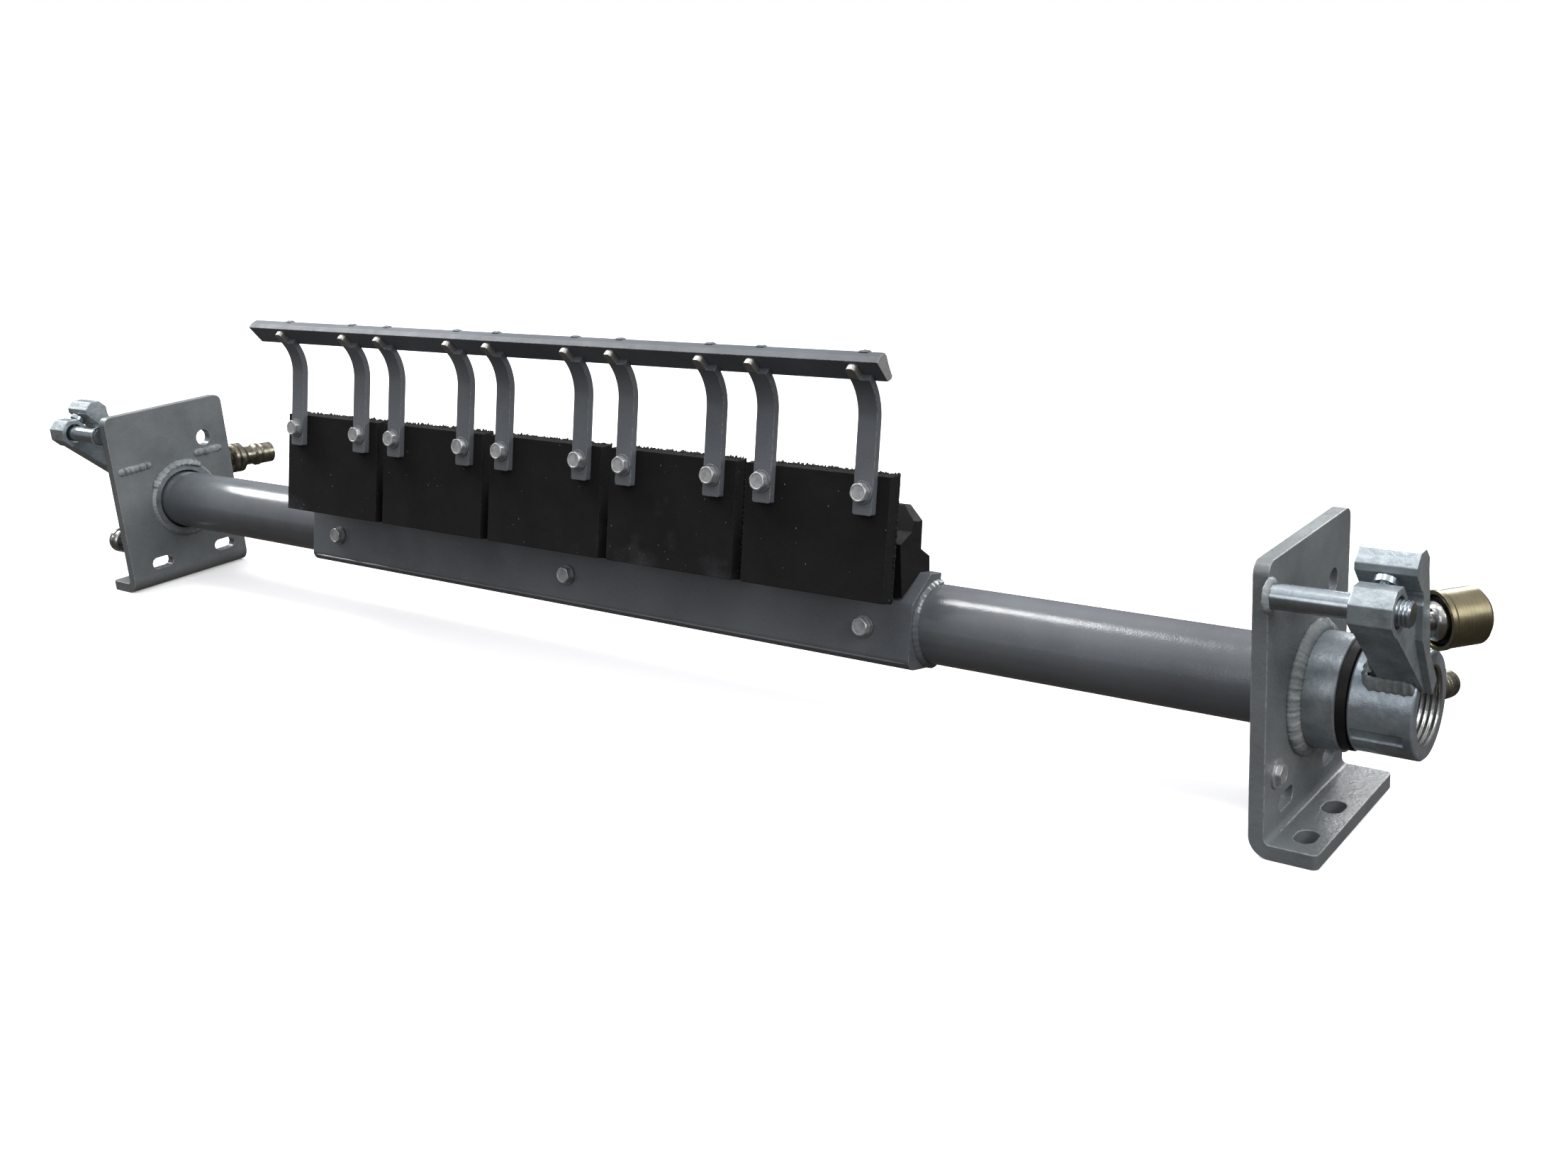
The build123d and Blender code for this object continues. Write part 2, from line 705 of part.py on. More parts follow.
# Face pad with the groove that rocks on the neck
def make_face_pad(x):
    with BuildPart() as pad:
        with BuildSketch(lean_section(x - pad_width / 2)):
            with BuildLine():
                Polyline((-pad_face, pad_bottom), (-pad_face, pad_top), (-pad_back, pad_top + pad_slant),
                         (-pad_back, pad_bottom - pad_slant / 3), close=True)
            make_face()
        extrude(amount=pad_width)
        with BuildSketch(lean_section(x - pad_width / 2)):
            with Locations((pivot_y, pivot_z)):
                Circle(pivot_radius + pivot_gap)
        extrude(amount=pad_width, mode=Mode.SUBTRACT)
        with BuildSketch(lean_face(x, pad_thick - pad_back, arm_bolt_z)):
            with GridLocations(arm_spacing, 1, 2, 1):
                Circle(bolt_diameter / 2 + hole_gap)
        extrude(amount=3 * pad_thick, mode=Mode.SUBTRACT)
    return pad


for number, x in enumerate(module_x, start=1):
    save(make_spring_block(x), f"spring_block_{number}")
    save(make_face_pad(x), f"face_pad_{number}")


# Spring arm: straight on the pad, then bent forward to a narrow nose under the blade bar
def make_arm(x):
    middle = -pad_face - arm_thick / 2
    nose_run = polar(1, 90 + arm_bend_angle)
    bend_end_y = middle - arm_bend_radius * (1 - cos(radians(arm_bend_angle)))
    bend_end_z = arm_straight_end + arm_bend_radius * sin(radians(arm_bend_angle))
    tip = lean_point(x, bend_end_y + arm_nose * nose_run[0], bend_end_z + arm_nose * nose_run[1])
    with BuildPart() as arm:
        with BuildSketch(lean_section(x - arm_width / 2)):
            with BuildLine() as spine:
                shank = Line((middle, arm_foot), (middle, arm_straight_end))
                bend = JernArc(start=shank @ 1, tangent=shank % 1, radius=arm_bend_radius,
                               arc_size=arm_bend_angle)
                Line(bend @ 1, bend @ 1 + (bend % 1) * arm_nose)
            trace(lines=spine.edges(), line_width=arm_thick)
        extrude(amount=arm_width)
        nose_face = lean_point(0, *polar(1, arm_bend_angle))
        with BuildSketch(Plane(origin=tip, x_dir=(1, 0, 0), z_dir=nose_face)):
            with BuildLine():
                Polyline((arm_nose_width - arm_width / 2, 0), (arm_width / 2, -arm_taper),
                         (arm_width, -arm_taper), (arm_width, arm_taper),
                         (arm_nose_width - arm_width / 2, arm_taper), close=True)
            make_face()
        extrude(amount=arm_thick, both=True, mode=Mode.SUBTRACT)
        across = arm.edges().filter_by(lambda e: abs(e.length - arm_thick) < 0.01)
        foot = across.sort_by(Axis.Z)[:2]
        nose = across.sort_by(Axis.Z)[-2:]
        fillet(nose, arm_nose_round)
        fillet(foot, arm_foot_round)
        with BuildSketch(lean_face(x, -pad_face, arm_bolt_z)):
            Circle(bolt_diameter / 2 + hole_gap)
        extrude(amount=arm_thick, mode=Mode.SUBTRACT)
    return arm


for number, x in enumerate(arm_x, start=1):
    save(make_arm(x), f"spring_arm_{number:02d}")


# Blade bar: its lower facet lies on the bent arm ends
def bar_point(along, out):
    # Point of the bar's section, in shares of its width along the facet and its thickness off the facet
    run_y, run_z = polar(along * bar_width, 90 + arm_bend_angle)
    off_y, off_z = polar(arm_thick / 2 + bar_lift + out * bar_thick, arm_bend_angle)
    bend_y = -pad_face - arm_thick / 2 - arm_bend_radius * (1 - cos(radians(arm_bend_angle)))
    bend_z = arm_straight_end + arm_bend_radius * sin(radians(arm_bend_angle))
    return (bend_y + run_y + off_y, bend_z + run_z + off_z)


with BuildPart() as bar:
    with BuildSketch(lean_section(-bar_left)):
        with BuildLine():
            Polyline(bar_point(0.31, 1), bar_point(0.48, 0.97), bar_point(0.57, 0.43), bar_point(0.55, 0),
                     bar_point(-0.32, 0), bar_point(-0.41, 0.4), bar_point(-0.37, 0.58))
            ThreePointArc(bar_point(-0.37, 0.58), bar_point(0, 0.76), bar_point(0.31, 1))
        make_face()
    extrude(amount=bar_left + bar_right)
save(bar, "blade_bar")


# Hexagon bolts, washers and nuts of the arms
arm_front = -pad_face - arm_thick
arm_bolt_spots = [(x, 0) for x in arm_x]
with BuildPart() as arm_bolts:
    with BuildSketch(lean_face(0, arm_front - washer_thick, arm_bolt_z)):
        with Locations(*arm_bolt_spots):
            RegularPolygon(hex_radius, 6)
    extrude(amount=bolt_head_height)
    with BuildSketch(lean_face(0, nut_height + bolt_end - pad_back, arm_bolt_z)):
        with Locations(*arm_bolt_spots):
            Circle(bolt_diameter / 2)
    extrude(amount=nut_height + bolt_end + pad_thick + arm_thick + washer_thick)
save(arm_bolts, "arm_bolts")

with BuildPart() as arm_washers:
    with BuildSketch(lean_face(0, arm_front, arm_bolt_z)):
        with Locations(*arm_bolt_spots):
            Circle(washer_diameter / 2)
            Circle(bolt_diameter / 2 + hole_gap, mode=Mode.SUBTRACT)
    extrude(amount=washer_thick)
save(arm_washers, "arm_washers")

with BuildPart() as arm_nuts:
    with BuildSketch(lean_face(0, nut_height - pad_back, arm_bolt_z)):
        with Locations(*arm_bolt_spots):
            RegularPolygon(hex_radius, 6)
            Circle(bolt_diameter / 2 + weld_gap, mode=Mode.SUBTRACT)
    extrude(amount=nut_height)
save(arm_nuts, "arm_nuts")

# Bolts and washers that hold the saddle on the tube
with BuildPart() as saddle_bolts:
    with BuildSketch(lean_face(0, -saddle_front - washer_thick, saddle_bolt_z)):
        with GridLocations(saddle_bolt_pitch, 1, 3, 1):
            RegularPolygon(hex_radius, 6)
    extrude(amount=bolt_head_height)
    with BuildSketch(lean_face(0, tube_wall - tube_r, saddle_bolt_z)):
        with GridLocations(saddle_bolt_pitch, 1, 3, 1):
            Circle(bolt_diameter / 2)
    extrude(amount=saddle_front + washer_thick - tube_r + tube_wall)
save(saddle_bolts, "saddle_bolts")

with BuildPart() as saddle_washers:
    with BuildSketch(lean_face(0, -saddle_front, saddle_bolt_z)):
        with GridLocations(saddle_bolt_pitch, 1, 3, 1):
            Circle(washer_diameter / 2)
            Circle(bolt_diameter / 2 + hole_gap, mode=Mode.SUBTRACT)
    extrude(amount=washer_thick)
save(saddle_washers, "saddle_washers")
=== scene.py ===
import bpy, bmesh, math, random
from mathutils import Matrix, Vector, noise


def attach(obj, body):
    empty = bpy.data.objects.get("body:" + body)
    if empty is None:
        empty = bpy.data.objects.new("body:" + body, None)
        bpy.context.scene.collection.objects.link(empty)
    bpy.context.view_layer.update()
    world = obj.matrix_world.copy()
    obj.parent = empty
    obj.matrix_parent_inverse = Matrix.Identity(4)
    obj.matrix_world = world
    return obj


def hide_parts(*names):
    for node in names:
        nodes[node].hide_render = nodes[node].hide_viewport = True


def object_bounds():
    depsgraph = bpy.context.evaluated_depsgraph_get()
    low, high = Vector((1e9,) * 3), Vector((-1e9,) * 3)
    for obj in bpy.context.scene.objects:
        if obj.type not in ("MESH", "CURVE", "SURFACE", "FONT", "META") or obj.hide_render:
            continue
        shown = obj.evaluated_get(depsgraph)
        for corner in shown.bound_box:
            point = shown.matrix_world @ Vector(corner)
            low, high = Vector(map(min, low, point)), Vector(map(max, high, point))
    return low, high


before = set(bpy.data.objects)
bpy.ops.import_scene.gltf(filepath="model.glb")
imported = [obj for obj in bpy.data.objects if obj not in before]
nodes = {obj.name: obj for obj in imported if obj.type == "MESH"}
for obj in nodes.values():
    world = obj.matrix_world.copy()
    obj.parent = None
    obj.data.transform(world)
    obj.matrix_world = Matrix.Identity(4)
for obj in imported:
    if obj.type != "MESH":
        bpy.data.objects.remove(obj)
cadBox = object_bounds()
print("frame loaded:", len(nodes), "nodes")

# the camera that sees the part as the photograph does
photoView = {
    "position": (0.97161, -0.96484, 0.39658),             # metres
    "yaw": -0.6704, "pitch": 0.3052, "roll": -0.0729,     # radians
    "focalPixels": 2285.6, "imageWidth": 2212, "sensorWidth": 36,
    "clipStart": 0.02, "clipEnd": 60,
}


def makeCamera(view):
    yaw, pitch, roll = view["yaw"], view["pitch"], view["roll"]
    forward = Vector((math.sin(yaw) * math.cos(pitch), math.cos(yaw) * math.cos(pitch), -math.sin(pitch)))
    right = forward.cross(Vector((0, 0, 1))).normalized()
    up = right.cross(forward)
    rightRolled = right * math.cos(roll) + up * math.sin(roll)
    upRolled = up * math.cos(roll) - right * math.sin(roll)
    data = bpy.data.cameras.new("photoCamera")
    data.sensor_fit = "HORIZONTAL"
    data.sensor_width = view["sensorWidth"]
    data.lens = view["focalPixels"] * view["sensorWidth"] / view["imageWidth"]
    data.clip_start = view["clipStart"]
    data.clip_end = view["clipEnd"]
    camera = bpy.data.objects.new("photoCamera", data)
    turn = Matrix((rightRolled, upRolled, -forward)).transposed().to_4x4()
    camera.matrix_world = Matrix.Translation(view["position"]) @ turn
    bpy.context.scene.collection.objects.link(camera)
    bpy.context.scene.camera = camera


makeCamera(photoView)
print("camera placed")

# studio light, background and floor
studio = {
    "paperWhite": 1.0, "paperGlow": 0.25, "paperRoughness": 0.75,
    "floorColour": (0.92, 0.92, 0.92), "floorSize": 400.0, "floorGap": 0.0003,
    # the room's light from straight down (0) over the horizon (0.5) to overhead (1)
    "room": [(0.0, (0.05, 0.044, 0.038)), (0.47, (0.09, 0.082, 0.074)), (0.53, (0.22, 0.22, 0.23)),
             (0.72, (0.30, 0.30, 0.32)), (0.86, (0.80, 0.80, 0.83)), (1.0, (1.0, 1.0, 1.0))],
    "roomStrength": 1.4,
    "lamps": [
        # name, place, looked-at point, size across the part, size along it, watts
        ("overheadSoftbox", (-1.95, 0.0, 2.1), (-0.6, 0, 0), 0.75, 2.7, 120),
        ("rightSoftbox", (2.6, -0.6, 1.5), (0.2, 0, 0.05), 1.2, 1.2, 40),
        ("middleSoftbox", (0.5, 0.85, 0.5), (-0.62, 0, 0.05), 0.5, 0.5, 7),
        ("frontSoftbox", (0.4, -2.2, 0.9), (-0.2, 0, 0.03), 1.4, 1.0, 8),
        ("endSoftbox", (0.55, -0.25, 1.5), (0.67, 0, 0), 0.4, 0.25, 5),
    ],
}


def makeRoomLight(look):
    world = bpy.data.worlds.new("studioAir")
    world.use_nodes = True
    tree = world.node_tree
    background = tree.nodes["Background"]
    heading = tree.nodes.new("ShaderNodeTexCoord")
    split = tree.nodes.new("ShaderNodeSeparateXYZ")
    tree.links.new(heading.outputs["Generated"], split.inputs[0])
    # height from -1 to 1 becomes 0 to 1
    level = tree.nodes.new("ShaderNodeMath")
    level.operation = "MULTIPLY_ADD"
    level.inputs[1].default_value = 0.5
    level.inputs[2].default_value = 0.5
    tree.links.new(split.outputs["Z"], level.inputs[0])
    ladder = tree.nodes.new("ShaderNodeValToRGB")
    while len(ladder.color_ramp.elements) < len(look["room"]):
        ladder.color_ramp.elements.new(0.5)
    for element, (position, colour) in zip(ladder.color_ramp.elements, look["room"]):
        element.position = position
        element.color = (*colour, 1)
    tree.links.new(level.outputs[0], ladder.inputs["Fac"])
    background.inputs["Strength"].default_value = look["roomStrength"]
    tree.links.new(ladder.outputs["Color"], background.inputs["Color"])
    # behind the part only white paper is seen
    paperLight = tree.nodes.new("ShaderNodeBackground")
    paperLight.inputs["Color"].default_value = (1, 1, 1, 1)
    paperLight.inputs["Strength"].default_value = look["paperWhite"]
    seen = tree.nodes.new("ShaderNodeLightPath")
    either = tree.nodes.new("ShaderNodeMixShader")
    tree.links.new(seen.outputs["Is Camera Ray"], either.inputs[0])
    tree.links.new(background.outputs[0], either.inputs[1])
    tree.links.new(paperLight.outputs[0], either.inputs[2])
    tree.links.new(either.outputs[0], tree.nodes["World Output"].inputs["Surface"])
    bpy.context.scene.world = world


def makeLamps(look):
    for name, place, target, across, along, watts in look["lamps"]:
        lamp = bpy.data.lights.new(name, "AREA")
        lamp.shape = "RECTANGLE"
        lamp.size = across
        lamp.size_y = along
        lamp.energy = watts
        holder = bpy.data.objects.new(name, lamp)
        holder.location = place
        holder.rotation_euler = (Vector(target) - Vector(place)).to_track_quat("-Z", "Y").to_euler()
        holder.visible_camera = False
        bpy.context.scene.collection.objects.link(holder)


def makeFloor(look):
    bm = bmesh.new()
    bmesh.ops.create_grid(bm, x_segments=1, y_segments=1, size=look["floorSize"] / 2)
    mesh = bpy.data.meshes.new("studioFloor")
    bm.to_mesh(mesh)
    bm.free()
    floor = bpy.data.objects.new("studioFloor", mesh)
    floor.location.z = cadBox[0][2] - look["floorGap"]
    bpy.context.scene.collection.objects.link(floor)
    paper = bpy.data.materials.new("floorPaper")
    paper.use_nodes = True
    shader = paper.node_tree.nodes["Principled BSDF"]
    shader.inputs["Base Color"].default_value = (*look["floorColour"], 1)
    shader.inputs["Roughness"].default_value = look["paperRoughness"]
    shader.inputs["Emission Color"].default_value = (1, 1, 1, 1)
    shader.inputs["Emission Strength"].default_value = look["paperGlow"]
    mesh.materials.append(paper)
    # the paper doesn't throw light back up at the undersides
    floor.visible_diffuse = False
    floor.visible_glossy = False


makeRoomLight(studio)
makeLamps(studio)
makeFloor(studio)
bpy.context.scene.view_settings.view_transform = "Standard"
print("studio set")


# material building blocks
def tint(hexColour):
    parts = [int(hexColour[i:i + 2], 16) / 255 for i in (0, 2, 4)]
    return tuple(p / 12.92 if p <= 0.04045 else ((p + 0.055) / 1.055) ** 2.4 for p in parts) + (1.0,)


class Finish:
    bevelSamples = 6
    wornEdge = (0.02, 0.25)     # how far the surface has to turn before it counts as an edge

    def __init__(self, name):
        self.material = bpy.data.materials.new(name)
        self.material.use_nodes = True
        self.tree = self.material.node_tree
        self.shader = self.tree.nodes["Principled BSDF"]
        self.coords = self.tree.nodes.new("ShaderNodeTexCoord").outputs["Object"]
        self.heights = []

    def node(self, kind, **values):
        made = self.tree.nodes.new(kind)
        for key, value in values.items():
            setattr(made, key, value)
        return made

    def join(self, source, target):
        self.tree.links.new(source, target)

    def stretched(self, scale):
        mapping = self.node("ShaderNodeMapping")
        mapping.inputs["Scale"].default_value = scale
        self.join(self.coords, mapping.inputs["Vector"])
        return mapping.outputs[0]

    def noise(self, scale, detail, rough, where=None):
        # scale: grains to the metre
        made = self.node("ShaderNodeTexNoise")
        made.inputs["Scale"].default_value = scale
        made.inputs["Detail"].default_value = detail
        made.inputs["Roughness"].default_value = rough
        self.join(where or self.coords, made.inputs["Vector"])
        return made.outputs["Fac"]

    def cells(self, scale):
        made = self.node("ShaderNodeTexVoronoi")
        made.inputs["Scale"].default_value = scale
        self.join(self.coords, made.inputs["Vector"])
        return made.outputs["Distance"]

    def ramp(self, source, stops):
        made = self.node("ShaderNodeValToRGB")
        band = made.color_ramp
        while len(band.elements) < len(stops):
            band.elements.new(0.5)
        for element, (position, colour) in zip(band.elements, stops):
            element.position = position
            element.color = colour if isinstance(colour, tuple) else (colour, colour, colour, 1)
        self.join(source, made.inputs["Fac"])
        return made.outputs["Color"]

    def rise(self, source, low, high):
        # 0 below the low value, 1 above the high one
        return self.ramp(source, [(low, 0.0), (high, 1.0)])

    def between(self, source, values):
        # wanders from the first value to the second
        return self.ramp(source, [(0.3, values[0]), (0.7, values[1])])

    def shades(self, source, look, stops):
        # the dark, base and light colour of a finish
        colours = [tint(look[key]) for key in ("dark", "base", "light")]
        return self.ramp(source, list(zip(stops, colours)))

    def maths(self, kind, first, second, clamp=False):
        made = self.node("ShaderNodeMath", operation=kind, use_clamp=clamp)
        for socket, value in zip(made.inputs, (first, second)):
            if isinstance(value, (int, float)):
                socket.default_value = value
            else:
                self.join(value, socket)
        return made.outputs[0]

    def mix(self, amount, first, second):
        made = self.node("ShaderNodeMix", data_type="RGBA")
        self.join(amount, made.inputs["Factor"])
        # for colours, inputs 6 and 7 are mixed to output 2
        for socket, value in ((made.inputs[6], first), (made.inputs[7], second)):
            if isinstance(value, tuple):
                socket.default_value = value
            else:
                self.join(value, socket)
        return made.outputs[2]

    def over(self, colour, mask, amount, hexColour):
        # lays a second colour on the first where the mask is 1
        return self.mix(self.maths("MULTIPLY", mask, amount), colour, tint(hexColour))

    def edges(self, radius):
        # 1 along outer and inner edges, 0 on flats
        bevel = self.node("ShaderNodeBevel", samples=self.bevelSamples)
        bevel.inputs["Radius"].default_value = radius
        geometry = self.node("ShaderNodeNewGeometry")
        product = self.node("ShaderNodeVectorMath", operation="DOT_PRODUCT")
        self.join(bevel.outputs[0], product.inputs[0])
        self.join(geometry.outputs["Normal"], product.inputs[1])
        away = self.maths("SUBTRACT", 1.0, product.outputs["Value"])
        return self.rise(away, *self.wornEdge)

    def worn(self, radius, grain, low, high):
        # edges that are rubbed through in places
        return self.maths("MULTIPLY", self.edges(radius), self.rise(grain, low, high))

    def height(self, source, strength):
        self.heights.append((source, strength))

    def along(self, direction, origin=(0, 0, 0)):
        # metres from a point of the part, measured along a direction
        shifted = self.node("ShaderNodeVectorMath", operation="SUBTRACT")
        self.join(self.coords, shifted.inputs[0])
        shifted.inputs[1].default_value = origin
        product = self.node("ShaderNodeVectorMath", operation="DOT_PRODUCT")
        self.join(shifted.outputs[0], product.inputs[0])
        product.inputs[1].default_value = direction
        return product.outputs["Value"]

    def fromAxis(self):
        # metres from the tube's axis
        flat = self.node("ShaderNodeVectorMath", operation="MULTIPLY")
        self.join(self.coords, flat.inputs[0])
        flat.inputs[1].default_value = (0, 1, 1)
        size = self.node("ShaderNodeVectorMath", operation="LENGTH")
        self.join(flat.outputs[0], size.inputs[0])
        return size.outputs["Value"]

    def above(self, source, level, width):
        # 0 below the level and 1 above it, with a soft step between
        step = self.maths("DIVIDE", self.maths("SUBTRACT", source, level), width)
        return self.maths("ADD", step, 0.5, clamp=True)

    def finish(self, colour, roughness, metallic=0.0, soften=None, gloss=0.5):
        # soften: radius in metres that the edges seem rounded by
        self.shader.inputs["Specular IOR Level"].default_value = gloss
        for socketName, value in (("Base Color", colour), ("Roughness", roughness), ("Metallic", metallic)):
            if isinstance(value, (int, float, tuple)):
                self.shader.inputs[socketName].default_value = value
            else:
                self.join(value, self.shader.inputs[socketName])
        previous = None
        if soften:
            bevel = self.node("ShaderNodeBevel", samples=self.bevelSamples)
            bevel.inputs["Radius"].default_value = soften
            previous = bevel.outputs[0]
        for source, strength in self.heights:
            bump = self.node("ShaderNodeBump")
            bump.inputs["Strength"].default_value = 1.0
            bump.inputs["Distance"].default_value = strength
            self.join(source, bump.inputs["Height"])
            if previous:
                self.join(previous, bump.inputs["Normal"])
            previous = bump.outputs[0]
        if previous:
            self.join(previous, self.shader.inputs["Normal"])
        return self.material


def dress(material, *names):
    for name in names:
        thing = nodes[name]
        if not thing.material_slots:
            thing.data.materials.append(material)
        for slot in thing.material_slots:
            slot.link = "OBJECT"
            slot.material = material


# the leaning blade set, in millimetres of its own frame; y and z of the place where the arms' noses start
blade = {
    "lean": 12, "modules": 5, "padWidth": 130.2, "padGap": 9.8, "padFace": 68.8, "padThick": 12.4,
    "armInset": 19.5, "armThick": 5.4, "bendAngle": 50, "noseStart": (-86.209, 179.642),
    "barWidth": 22.4, "barThick": 11.3, "barShort": 6.4, "cutDepth": 0.3,
}
padPitch = blade["padWidth"] + blade["padGap"]
padSpots = [(n - (blade["modules"] - 1) / 2) * padPitch for n in range(blade["modules"])]
armHalf = blade["padWidth"] / 2 - blade["armInset"]
armSpots = [x + half for x in padSpots for half in (-armHalf, armHalf)]
# the bar's right end, less the depth of its bare cut
barCut = blade["modules"] * padPitch / 2 - blade["barShort"] - blade["cutDepth"]
# y and z of the directions along the arms' noses, and out of them
bend = math.radians(blade["bendAngle"])
noseRun = (-math.sin(bend), math.cos(bend))
noseOut = (math.cos(bend), math.sin(bend))


def onBlade(x, y, z):
    # point of the blade frame in the part's frame, in metres
    turn = math.radians(blade["lean"])
    rear = y * math.cos(turn) + z * math.sin(turn)
    up = z * math.cos(turn) - y * math.sin(turn)
    return Vector((x, rear, up)) / 1000


def bladeWay(y, z):
    # direction of the blade frame in the part's frame
    return onBlade(0, y, z) * 1000


def onBar(x, along, out):
    # point of the bar's section, in shares of its width and thickness
    run = along * blade["barWidth"]
    off = blade["armThick"] / 2 + out * blade["barThick"]
    y = blade["noseStart"][0] + run * noseRun[0] + off * noseOut[0]
    z = blade["noseStart"][1] + run * noseRun[1] + off * noseOut[1]
    return onBlade(x, y, z)


# paint on the plates: grey with an orange-peel skin, dirt and worn edges
platePaint = {
    "base": "666b6d", "light": "73787a", "dark": "565b5e", "chip": "b9bbb8", "dirt": "4e5150",
    "peel": 0.00016, "waves": 0.0004, "lumps": 0.0, "shine": (0.24, 0.36), "soften": 0.0011,
}
# on the weld beads it lies lumpy and glossier; its paler base and light colours are a painted highlight
weldPaintPaintedHighlight = dict(platePaint, base="848a8b", light="a3a7a6", lumps=0.0007, shine=(0.10, 0.20))


def makePlatePaint(look, name):
    f = Finish(name)
    colour = f.shades(f.noise(11, 5, 0.6), look, (0.3, 0.5, 0.72))
    colour = f.over(colour, f.rise(f.noise(1100, 2, 0.5), 0.68, 0.76), 0.3, look["chip"])
    colour = f.over(colour, f.worn(0.0016, f.noise(220, 4, 0.7), 0.34, 0.56), 0.85, look["chip"])
    colour = f.over(colour, f.rise(f.noise(60, 5, 0.65), 0.58, 0.80), 0.22, look["dirt"])
    f.height(f.noise(520, 3, 0.5), look["peel"])
    f.height(f.noise(70, 3, 0.5), look["waves"])
    if look["lumps"]:
        f.height(f.noise(330, 5, 0.7), look["lumps"])
    return f.finish(colour, f.between(f.noise(120, 4, 0.6), look["shine"]), soften=look["soften"])


# paint on the tube, saddle and arms: blue-grey, thinner and glossier
tubePaint = {
    "base": "575b5f", "light": "62666a", "dark": "494d52", "bare": "c4c3bf", "speck": "aeb2b5",
    "wear": 0.6, "peel": 0.00009, "waves": 0.0002, "shine": (0.15, 0.24), "gloss": 0.5, "soften": 0.0008,
    "sawn": ("5f605f", "8f908d"),
    "nose": "8f8e89", "noseShine": (0.28, 0.5), "noseMetal": 0.7, "noseGrain": 0.0001,
}
# the blade bar is duller, with barer edges
barPaint = dict(tubePaint, base="54595e", light="60656a", dark="4a4e53", wear=0.9, shine=(0.42, 0.54),
                gloss=0.15)


def makeTubePaint(look, name, bareNose=False, bareEnd=False):
    f = Finish(name)
    colour = f.shades(f.noise(7, 5, 0.6), look, (0.3, 0.5, 0.75))
    colour = f.over(colour, f.rise(f.noise(1300, 2, 0.5), 0.70, 0.76), 0.35, look["speck"])
    if bareEnd:
        # the bar's sawn right end
        cut = f.above(f.along((1, 0, 0), onBlade(barCut, 0, 0)), 0.0, 0.0002)
        dark, light = look["sawn"]
        sawn = f.ramp(f.noise(1500, 3, 0.7), [(0.35, tint(dark)), (0.65, tint(light))])
        colour = f.mix(cut, colour, sawn)
    colour = f.over(colour, f.worn(0.0008, f.noise(340, 4, 0.7), 0.45, 0.6), look["wear"], look["bare"])
    rough = f.between(f.noise(90, 4, 0.6), look["shine"])
    metal = 0.0
    if bareNose:
        # the arms' noses stand bare in front of the bar
        nose = f.above(f.along(bladeWay(*noseRun), onBlade(0, *blade["noseStart"])), 0.0005, 0.0012)
        colour = f.mix(nose, colour, tint(look["nose"]))
        metal = f.maths("MULTIPLY", nose, look["noseMetal"])
        rough = f.mix(nose, rough, f.between(f.noise(500, 3, 0.6), look["noseShine"]))
        f.height(f.noise(650, 4, 0.6), look["noseGrain"])
    f.height(f.noise(650, 3, 0.5), look["peel"])
    f.height(f.noise(45, 3, 0.5), look["waves"])
    return f.finish(colour, rough, metal, soften=look["soften"], gloss=look["gloss"])


# cast levers, and the hubs and housings in the same finish; the hubs' thread is bare inside threadRadius
leverCast = {
    "base": "8d969a", "dark": "747e83", "light": "a6adb1", "pit": "474d50", "edge": "cfd3d4",
    "grit": 0.00030, "pitDepth": 0.0001, "metal": 0.5, "shine": (0.24, 0.38), "soften": 0.0014,
    "thread": "a9aaa8", "threadShine": 0.22, "threadRadius": 0.0262,
}
hubCast = dict(leverCast, base="8d979e", dark="737d84", light="a3abb0", grit=0.00022, metal=0.6)
housingCast = dict(leverCast, base="848c91", dark="6c7479", light="989f9f", grit=0.00018)


def makeCasting(look, name, bareThread=False):
    f = Finish(name)
    colour = f.shades(f.noise(55, 6, 0.65), look, (0.3, 0.52, 0.74))
    pits = f.ramp(f.cells(700), [(0.03, 1.0), (0.16, 0.0)])
    colour = f.over(colour, pits, 0.35, look["pit"])
    colour = f.over(colour, f.worn(0.0012, f.noise(280, 4, 0.7), 0.36, 0.58), 0.6, look["edge"])
    f.height(f.noise(260, 5, 0.6), look["grit"])
    f.height(f.maths("MULTIPLY", pits, -1.0), look["pitDepth"])
    rough = f.between(f.noise(150, 4, 0.6), look["shine"])
    metal = look["metal"]
    if bareThread:
        painted = f.above(f.fromAxis(), look["threadRadius"], 0.0006)
        colour = f.mix(painted, tint(look["thread"]), colour)
        metal = f.maths("SUBTRACT", 1.0, f.maths("MULTIPLY", painted, 1 - look["metal"]))
        rough = f.mix(painted, (look["threadShine"],) * 3 + (1,), rough)
    return f.finish(colour, rough, metal, soften=look["soften"])


# zinc-plated bolts and nuts, brighter rods and darker washers
zincSteel = {
    "base": "c2c4c5", "dark": "9b9ea0", "scratch": 0.00003, "shine": (0.30, 0.44), "metal": 0.72,
    "soften": 0.0004,
}
rodSteel = dict(zincSteel, base="a9b2b8", dark="96a0a6", scratch=0.00001, shine=(0.14, 0.22), metal=0.95)
washerSteel = dict(zincSteel, base="8b8e90", dark="5f6264")


def makeZincSteel(look, name):
    f = Finish(name)
    colour = f.ramp(f.noise(210, 5, 0.65), [(0.3, tint(look["dark"])), (0.6, tint(look["base"]))])
    f.height(f.noise(900, 3, 0.6, where=f.stretched((0.3, 1, 1))), look["scratch"])
    rough = f.between(f.noise(400, 4, 0.65), look["shine"])
    return f.finish(colour, rough, look["metal"], soften=look["soften"])


# turned knob and ball studs
turnedSteel = {"base": "bcbcb9", "dark": "9c9c9a", "rings": 0.00003, "shine": (0.12, 0.24), "soften": 0.0006}


